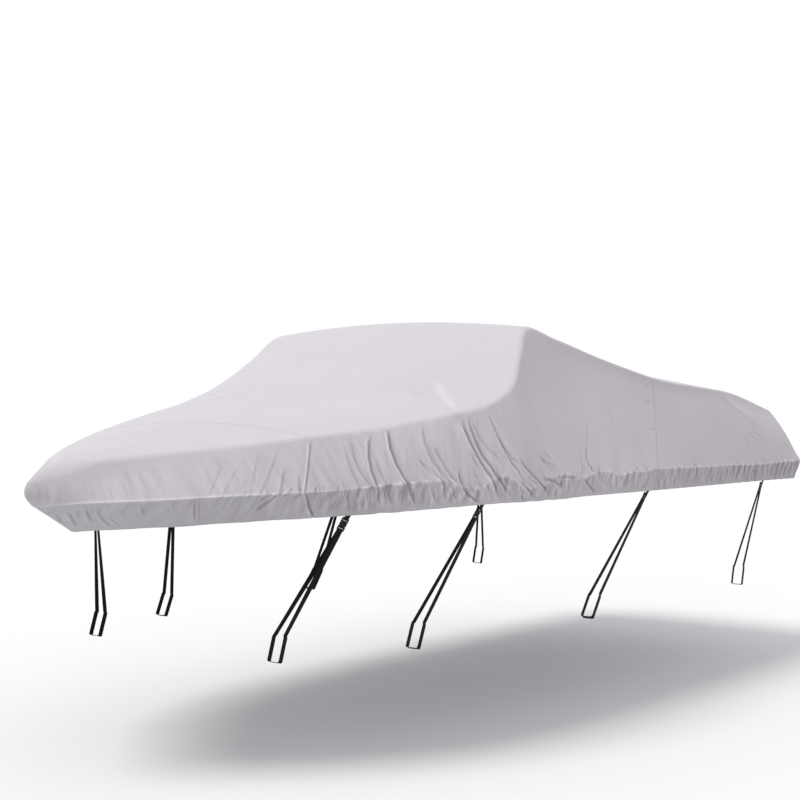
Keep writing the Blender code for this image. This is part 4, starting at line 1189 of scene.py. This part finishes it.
def ribbon(name, path, across, material, closed=False):
    """Webbing swept along a path, with round selvedges; across holds its width's direction."""
    path, across = np.array(path), unit_rows(np.array(across))
    if closed:
        ahead = np.roll(path, -1, axis=0) - np.roll(path, 1, axis=0)
    else:
        ahead = np.gradient(path, axis=0)
    up = unit_rows(np.cross(ahead, across))
    profile = list(WEBBING_PROFILE) + [(w, -t) for w, t in WEBBING_PROFILE[-2:0:-1]]
    ring = [
        path + across * w * WEBBING_WIDTH + up * t * WEBBING
        for w, t in profile + profile[:1]
    ]
    points = np.stack(ring, axis=1)
    length = np.concatenate([[0.0], np.cumsum(np.linalg.norm(np.diff(path, axis=0), axis=1))])
    width = np.array([w for w, _ in profile + profile[:1]]) * WEBBING_WIDTH
    places = np.stack(np.meshgrid(length, width, indexing="ij"), axis=-1)
    mesh = grid_mesh(name, points, places, closed)
    if not closed:
        work = bmesh.new()
        work.from_mesh(mesh)
        bmesh.ops.holes_fill(work, edges=[e for e in work.edges if e.is_boundary], sides=0)
        bmesh.ops.recalc_face_normals(work, faces=work.faces)
        work.to_mesh(mesh)
        work.free()
    return new_object(name, mesh, material)


def between(start, end, here, there, count):
    """Points and width directions on the way between two places, both ends left out."""
    path, across = [], []
    for k in range(1, count):
        f = k / count
        eased = f * f * (3 - 2 * f)
        path.append(start + (end - start) * f)
        across.append(unit(here + (there - here) * eased))
    return path, across


def hem_frame(sections, seat, side):
    """The hem's outer corner, the cloth's outward normal there and the hem's own direction."""
    points = half_surface(sections, seat + np.array([-TAB_SEAT, TAB_SEAT]), side)[0]
    middle = PORT_STEPS[0] // 2 if side < 0 else STARBOARD_STEPS[0] // 2
    hem = points[:, 0].mean(axis=0)
    along_hem = unit(points[1, 0] - points[0, 0])
    normal = np.cross(hem - points[:, middle].mean(axis=0), along_hem)
    return hem, facing_out(normal, side), along_hem


def add_strap(sections, strap, side, number, materials, buckle_mesh):
    """One hem tab, its buckle and the strap looped round the beam."""
    label = ("port" if side < 0 else "starboard") + f"_{number}"
    hem, normal, along_hem = hem_frame(sections, sections.seats[number - 1], side)
    beam = np.array([strap["beam_x"], -side * strap["beam_y"], strap["beam_z"]])
    leave = hem - normal * (CLOTH + TAB_CLEAR + WEBBING / 2)
    pull = unit(beam - leave)
    up = -unit(pull - normal * pull.dot(normal))
    leave = leave - up * TAB_PAST_HEM
    pull = unit(beam - leave)
    across = unit(along_hem - pull * along_hem.dot(pull))
    out = facing_out(np.cross(pull, across), side)
    across_up = np.cross(normal, up)
    across_up *= np.sign(across_up.dot(across))
    upper_bar = leave + pull * (TAB_BELOW_HEM + BAR_TURN) - out * BAR_TURN
    sewn = TAB_UNDER_CLOTH + TAB_PAST_HEM
    tab = [leave + up * sewn * (1 - k / SEWN_STEPS) for k in range(SEWN_STEPS + 1)]
    widths = [across_up] * len(tab)
    first = upper_bar + out * BAR_TURN
    path, turned = between(leave, first, across_up, across, BEND_STEPS)
    tab += path
    widths += turned
    tab += arc(upper_bar, out, pull, BAR_TURN, 0.0, 180.0, TAB_TURN_STEPS)
    tab += [tab[-1] - pull * TAB_END / 2, tab[-1] - pull * TAB_END]
    widths += [across] * (len(tab) - len(widths))
    made = ribbon("webbing_tab_" + label, tab, widths, materials["webbing"])
    declared(made, "hem_tab_" + label)

    reach = BUCKLE_LENGTH - BUCKLE_BAR
    centre, lower_bar = upper_bar + pull * reach / 2, upper_bar + pull * reach
    buckle = linked("moulded_buckle_" + label, buckle_mesh)
    axes = Matrix((Vector(across), Vector(pull), Vector(np.cross(across, pull)))).transposed()
    if np.cross(across, pull).dot(out) < 0:
        axes = axes @ Matrix.Rotation(math.pi, 3, "Y")
    buckle.matrix_world = Matrix.Translation(Vector(centre)) @ axes.to_4x4()
    declared(buckle, "buckle_" + label)

    outboard = np.array([0.0, float(side), 0.0])
    upright = np.array([pull[0] / pull[2], 0.0, 1.0])
    across_beam = unit(np.cross(upright, outboard))
    across_beam *= np.sign(across_beam.dot(across))
    top = arc(lower_bar, out, -pull, BAR_TURN, 180.0, 0.0, STRAP_TURN_STEPS)
    bottom = []
    corners = ((1, 1, STRAND_TURN), (1, -1, 0.0), (-1, -1, -90.0), (-1, 1, -180.0))
    for right, high, start in corners:
        corner = beam + outboard * right * BEAM_WIDTH / 2 + upright * high * BEAM_HEIGHT / 2
        turn = 90.0 if high < 0 else STRAND_TURN
        bottom += arc(corner, outboard, upright, BEAM_ROUND, start, start - turn, CORNER_STEPS)
    down, down_across = between(top[-1], bottom[0], across, across_beam, STRAND_STEPS)
    back, back_across = between(bottom[-1], top[0], across_beam, across, STRAND_STEPS)
    loop = top + down + bottom + back
    widths = [across] * len(top) + down_across + [across_beam] * len(bottom) + back_across
    made = ribbon("webbing_strap_" + label, loop, widths, materials["webbing"], True)
    declared(made, "strap_" + label)


def block(size, place, edge, segments=2):
    """A box with rounded edges, as a new bmesh."""
    work = bmesh.new()
    bmesh.ops.create_cube(work, size=1.0)
    bmesh.ops.scale(work, vec=size, verts=work.verts)
    if edge:
        bmesh.ops.bevel(
            work,
            geom=work.edges[:], offset=edge, segments=segments, profile=BLOCK_ROUND, affect="EDGES",
        )
    bmesh.ops.translate(work, vec=place, verts=work.verts)
    return work


def as_mesh(work):
    """A bmesh turned into a mesh, and freed."""
    mesh = bpy.data.meshes.new("form")
    work.to_mesh(mesh)
    work.free()
    return mesh


def cut_block(size, place, edge, cuts):
    """A rounded box with rounded boxes cut through it, as a mesh."""
    forms = [(size, place, edge), *cuts]
    objects = [linked("form", as_mesh(block(*form))) for form in forms]
    for cutter in objects[1:]:
        cut = objects[0].modifiers.new("cut", "BOOLEAN")
        cut.operation = "DIFFERENCE"
        cut.solver = "EXACT"
        cut.object = cutter
    bpy.context.view_layer.update()
    shape = objects[0].evaluated_get(bpy.context.evaluated_depsgraph_get())
    mesh = bpy.data.meshes.new_from_object(shape)
    for made in objects:
        bpy.data.objects.remove(made)
    return mesh


def buckle_ends():
    """The two ends, each with its slot and its bar."""
    half = BUCKLE_LENGTH / 2
    slot_middle = half - BUCKLE_BAR - BUCKLE_SLOT / 2
    forms = []
    for end, thickness in BUCKLE_ENDS:
        size = (BUCKLE_WIDTH, BUCKLE_END_LENGTH, thickness)
        place = (0.0, end * (half - BUCKLE_END_LENGTH / 2), 0.0)
        slot = (BUCKLE_SLOT_WIDTH, BUCKLE_SLOT, CUT_DEPTH)
        cuts = [(slot, (0.0, end * slot_middle, 0.0), SLOT_EDGE)]
        forms.append(cut_block(size, place, BUCKLE_EDGE, cuts))
    return forms


def buckle_middle():
    """The hollow body, the spring arms in its windows with their ribs, and the ridges."""
    length = BUCKLE_LENGTH - 2 * BUCKLE_END_LENGTH + BODY_LAP
    body = (BUCKLE_WIDTH - BODY_NARROWER, length, BUCKLE_THICKNESS)
    window = (WINDOW_WIDTH, length * WINDOW_SHARE, CUT_DEPTH)
    arm = (ARM_WIDTH, window[1] * ARM_SHARE, ARM_THICKNESS)
    windows, solids = [], []
    for side in (-1, 1):
        windows.append((window, (side * WINDOW_OUT, ARM_ALONG, 0.0), BODY_EDGE))
        solids.append(block(arm, (side * ARM_OUT, ARM_ALONG, 0.0), BUCKLE_EDGE))
        for k in range(RIB_COUNT):
            place = (side * RIB_OUT, RIB_FIRST + RIB_PITCH * k, 0.0)
            solids.append(block(RIB_SIZE, place, FINE_EDGE, 1))
    for k in range(RIDGE_COUNT):
        place = (0.0, RIDGE_FIRST + RIDGE_PITCH * k, BUCKLE_THICKNESS / 2)
        solids.append(block(RIDGE_SIZE, place, FINE_EDGE, 1))
    return [cut_block(body, (0, 0, 0), BODY_EDGE, windows), *map(as_mesh, solids)]


def make_buckle(material):
    """Side-release buckle, closed: a hollow body, two spring arms in its windows, two bars."""
    whole = bmesh.new()
    for mesh in buckle_ends() + buckle_middle():
        whole.from_mesh(mesh)
        bpy.data.meshes.remove(mesh)
    made = bpy.data.meshes.new("moulded_buckle")
    whole.to_mesh(made)
    whole.free()
    made.materials.clear()
    made.materials.append(material)
    made.shade_smooth()
    made.set_sharp_from_angle(angle=math.radians(SHARP_ANGLE))
    return made


# ---------------------------------------------------------------------------------------- materials


CLOTH_COLOUR = (0.384, 0.372, 0.393)
# The dark end also colours the painted shade, and the light end the painted highlights.
CLOTH_DARK = (0.222, 0.209, 0.230)
CLOTH_LIGHT = (0.546, 0.535, 0.556)
CLOTH_ROUGHNESS = (0.54, 0.72)
# The cloth's tone from dark to light: its base, and what broad and fine random patches and the painted
# light and shade add.
TONE = 0.38
BROAD_TONE = 0.14
FINE_TONE = 0.10
PAINTED_LIGHT_AND_TONE_SHARE = 0.62
# Scales of the patches, along and up the cloth.
BROAD_SCALE = (1.3, 1.9)
FINE_SCALE = (60.0, 22.0)
CRINKLE_SCALE = (42.0, 5.0)
CRINKLE_DEPTH = 0.0011
WEAVE_PITCH = 0.0011
WEAVE_DEPTH = 0.00010
WEBBING_DARK = (0.003, 0.003, 0.004)
WEBBING_LIGHT = (0.010, 0.010, 0.012)
WEBBING_RIB = 0.0018
WEBBING_PICK = 0.0022
WEBBING_SLANT = 0.8
WEBBING_DEPTH = 0.0004
DUST_SCALE = (30.0, 90.0)
PLASTIC_DARK = (0.006, 0.006, 0.007)
PLASTIC_LIGHT = (0.013, 0.013, 0.014)
THREAD_DARK = (0.34, 0.33, 0.35)
THREAD_LIGHT = (0.42, 0.41, 0.43)
FLOOR_COLOUR = (0.60, 0.60, 0.60)


class Nodes:
    """A material, with short names for building its nodes."""

    def __init__(self, name, colour, roughness):
        self.material = bpy.data.materials.new(name)
        self.material.use_nodes = True
        self.material.diffuse_color = (*colour, 1.0)
        self.tree = self.material.node_tree
        self.shader = self.tree.nodes["Principled BSDF"]
        self.fill(self.shader, {"Base Color": (*colour, 1.0), "Roughness": roughness})

    def fill(self, node, inputs):
        """Sets a node's inputs, each to a value or to another node's output."""
        for name, value in inputs.items():
            if isinstance(value, bpy.types.NodeSocket):
                self.tree.links.new(value, node.inputs[name])
            else:
                node.inputs[name].default_value = value

    def node(self, kind, inputs, **settings):
        made = self.tree.nodes.new("ShaderNode" + kind)
        for name, value in settings.items():
            setattr(made, name, value)
        self.fill(made, inputs)
        return made.outputs

    def math(self, operation, *values):
        return self.node("Math", dict(enumerate(values)), operation=operation)[0]

    def wave(self, source, pitch):
        """A sine of a measure, with this pitch."""
        return self.math("SINE", self.math("MULTIPLY", source, 2 * math.pi / pitch))

    def mapped(self, low, high, source):
        """A value from 0 to 1 turned into one from low to high."""
        return self.math("ADD", self.math("MULTIPLY", source, high - low), low)

    def noise(self, vector, scale, detail=3.0, roughness=0.5):
        inputs = {"Vector": vector, "Scale": scale, "Detail": detail, "Roughness": roughness}
        return self.node("TexNoise", inputs)["Fac"]

    def patches(self, u, v, scales, detail, roughness=0.5):
        """Noise over the cloth's own measures, each scaled."""
        scaled = [self.math("MULTIPLY", place, scale) for place, scale in zip((u, v), scales)]
        vector = self.node("CombineXYZ", dict(enumerate(scaled)))[0]
        return self.noise(vector, 1.0, detail, roughness)

    def places(self):
        """The mesh's own measures, in metres: along and across."""
        place = self.node("UVMap", {}, uv_map="cloth")[0]
        split = self.node("SeparateXYZ", {0: place})
        return split[0], split[1]

    def bump(self, height, distance, strength=1.0, **over):
        inputs = {"Height": height, "Distance": distance, "Strength": strength, **over}
        return self.node("Bump", inputs)[0]

    def tinted(self, dark, light, source):
        inputs = {0: source, 6: (*dark, 1.0), 7: (*light, 1.0)}
        return self.node("Mix", inputs, data_type="RGBA")[2]


def cloth_material():
    made = Nodes("cover_cloth", CLOTH_COLOUR, 0.62)
    u, v = made.places()
    weave = made.math("MULTIPLY", made.wave(u, WEAVE_PITCH), made.wave(v, WEAVE_PITCH))
    broad = made.patches(u, v, BROAD_SCALE, 2.0)
    fine = made.patches(u, v, FINE_SCALE, 4.0, 0.6)
    crinkle = made.patches(u, v, CRINKLE_SCALE, 5.0, 0.62)
    # Painted light and shade, with some soft bands of tone, read from the mesh.
    painted_light_and_tone = made.node("Attribute", {}, attribute_name="painted_light_and_tone")["Fac"]
    tone = TONE
    for source, share in ((broad, BROAD_TONE), (fine, FINE_TONE), (painted_light_and_tone, PAINTED_LIGHT_AND_TONE_SHARE)):
        tone = made.math("ADD", made.math("MULTIPLY", source, share), tone)
    rumple = made.bump(crinkle, CRINKLE_DEPTH)
    made.fill(made.shader, {
        "Base Color": made.tinted(CLOTH_DARK, CLOTH_LIGHT, tone),
        "Roughness": made.mapped(*CLOTH_ROUGHNESS, fine),
        "Normal": made.bump(made.mapped(0.5, 1.0, weave), WEAVE_DEPTH, 0.6, Normal=rumple),
        "Specular IOR Level": 0.35,
        "Sheen Weight": 0.12,
        "Sheen Roughness": 0.5,
    })
    return made.material


def webbing_material():
    made = Nodes("webbing", WEBBING_LIGHT, 0.6)
    u, v = made.places()
    slanted = made.math("ADD", u, made.math("MULTIPLY", v, WEBBING_SLANT))
    weave = made.math("MULTIPLY", made.wave(v, WEBBING_RIB), made.wave(slanted, WEBBING_PICK))
    dust = made.patches(u, v, DUST_SCALE, 3.0)
    made.fill(made.shader, {
        "Base Color": made.tinted(WEBBING_DARK, WEBBING_LIGHT, dust),
        "Roughness": made.mapped(0.5, 0.72, dust),
        "Normal": made.bump(made.mapped(0.5, 0.9, weave), WEBBING_DEPTH, 0.8),
        "Specular IOR Level": 0.08,
        "Sheen Weight": 0.03,
    })
    return made.material


def buckle_material():
    made = Nodes("buckle_plastic", (0.008, 0.008, 0.009), 0.40)
    place = made.node("TexCoord", {})["Object"]
    scuff = made.noise(place, 60.0, 4.0, 0.65)
    made.fill(made.shader, {
        "Base Color": made.tinted(PLASTIC_DARK, PLASTIC_LIGHT, scuff),
        "Roughness": made.mapped(0.34, 0.54, scuff),
        "Normal": made.bump(made.noise(place, 900.0, 2.0), 0.00012, 0.5),
        "Specular IOR Level": 0.15,
    })
    return made.material


def thread_material():
    made = Nodes("thread", (0.38, 0.37, 0.39), 0.55)
    twist = made.noise(made.node("TexCoord", {})["Object"], 1400.0, 2.0)
    made.fill(made.shader, {
        "Base Color": made.tinted(THREAD_DARK, THREAD_LIGHT, twist),
        "Normal": made.bump(twist, 0.0002, 0.6),
    })
    return made.material


# --------------------------------------------------------------------------- camera, light and floor
CAMERA_PLACE = (-6.064, -4.795, -0.4275)
CAMERA_HEADING = (0.788, 0.616)
CAMERA_RISE = 0.0028  # the horizon lies a little below the picture's middle
CAMERA_LENS = 65.25
CAMERA_REACH = 400.0
SENSOR = 36.0
FLOOR_UP = -1.9875
FLOOR_SIZE = 160.0
SKY_COLOUR = (1.03, 1.00, 1.05)
SUN_COLOUR = (0.98, 1.00, 0.95)
LIGHT_COLUMNS = ("name", "from", "strength", "spread")  # the spread in degrees
LIGHTS = (
    ("key", (-0.42, 0.20, 0.88), 2.3, 26.0),
    ("side", (-0.90, -0.30, 0.30), 0.25, 10.0),
)


def add_camera():
    camera = linked("camera", bpy.data.cameras.new("camera"))
    camera.location = CAMERA_PLACE
    looking = Vector((*CAMERA_HEADING, CAMERA_RISE))
    camera.rotation_euler = looking.to_track_quat("-Z", "Y").to_euler()
    camera.data.lens = CAMERA_LENS
    camera.data.sensor_width = SENSOR
    camera.data.clip_end = CAMERA_REACH
    bpy.context.scene.camera = camera


def add_studio():
    world = bpy.data.worlds.new("studio")
    world.use_nodes = True
    sky = world.node_tree.nodes["Background"].inputs
    sky["Color"].default_value = (*SKY_COLOUR, 1.0)
    sky["Strength"].default_value = 1.0
    bpy.context.scene.world = world
    bpy.context.scene.view_settings.view_transform = "Standard"
    for light in named(LIGHT_COLUMNS, LIGHTS):
        lamp = bpy.data.lights.new(light["name"], "SUN")
        lamp.energy = light["strength"]
        lamp.color = SUN_COLOUR
        lamp.angle = math.radians(light["spread"])
        sun = linked(light["name"], lamp)
        sun.rotation_euler = Vector(light["from"]).to_track_quat("Z", "Y").to_euler()
    work = bmesh.new()
    bmesh.ops.create_grid(work, x_segments=1, y_segments=1, size=FLOOR_SIZE / 2)
    floor = new_object("floor", as_mesh(work), Nodes("floor", FLOOR_COLOUR, 0.9).material)
    floor.location.z = FLOOR_UP


# ------------------------------------------------------------------------------------------- the part
add_camera()
add_studio()
materials = {
    "cloth": cloth_material(),
    "webbing": webbing_material(),
    "buckle": buckle_material(),
    "thread": thread_material(),
}
sections = Sections()
panels = add_panels(sections, materials["cloth"])
hem_stitches = stitches("hem_stitching", hem_paths(sections), materials["thread"])
seam_stitches = stitches("seam_stitching", seam_paths(sections), materials["thread"])
buckle_mesh = make_buckle(materials["buckle"])
for side in (-1, 1):
    for number, strap in enumerate(named(STRAP_COLUMNS, STRAPS), start=1):
        add_strap(sections, strap, side, number, materials, buckle_mesh)
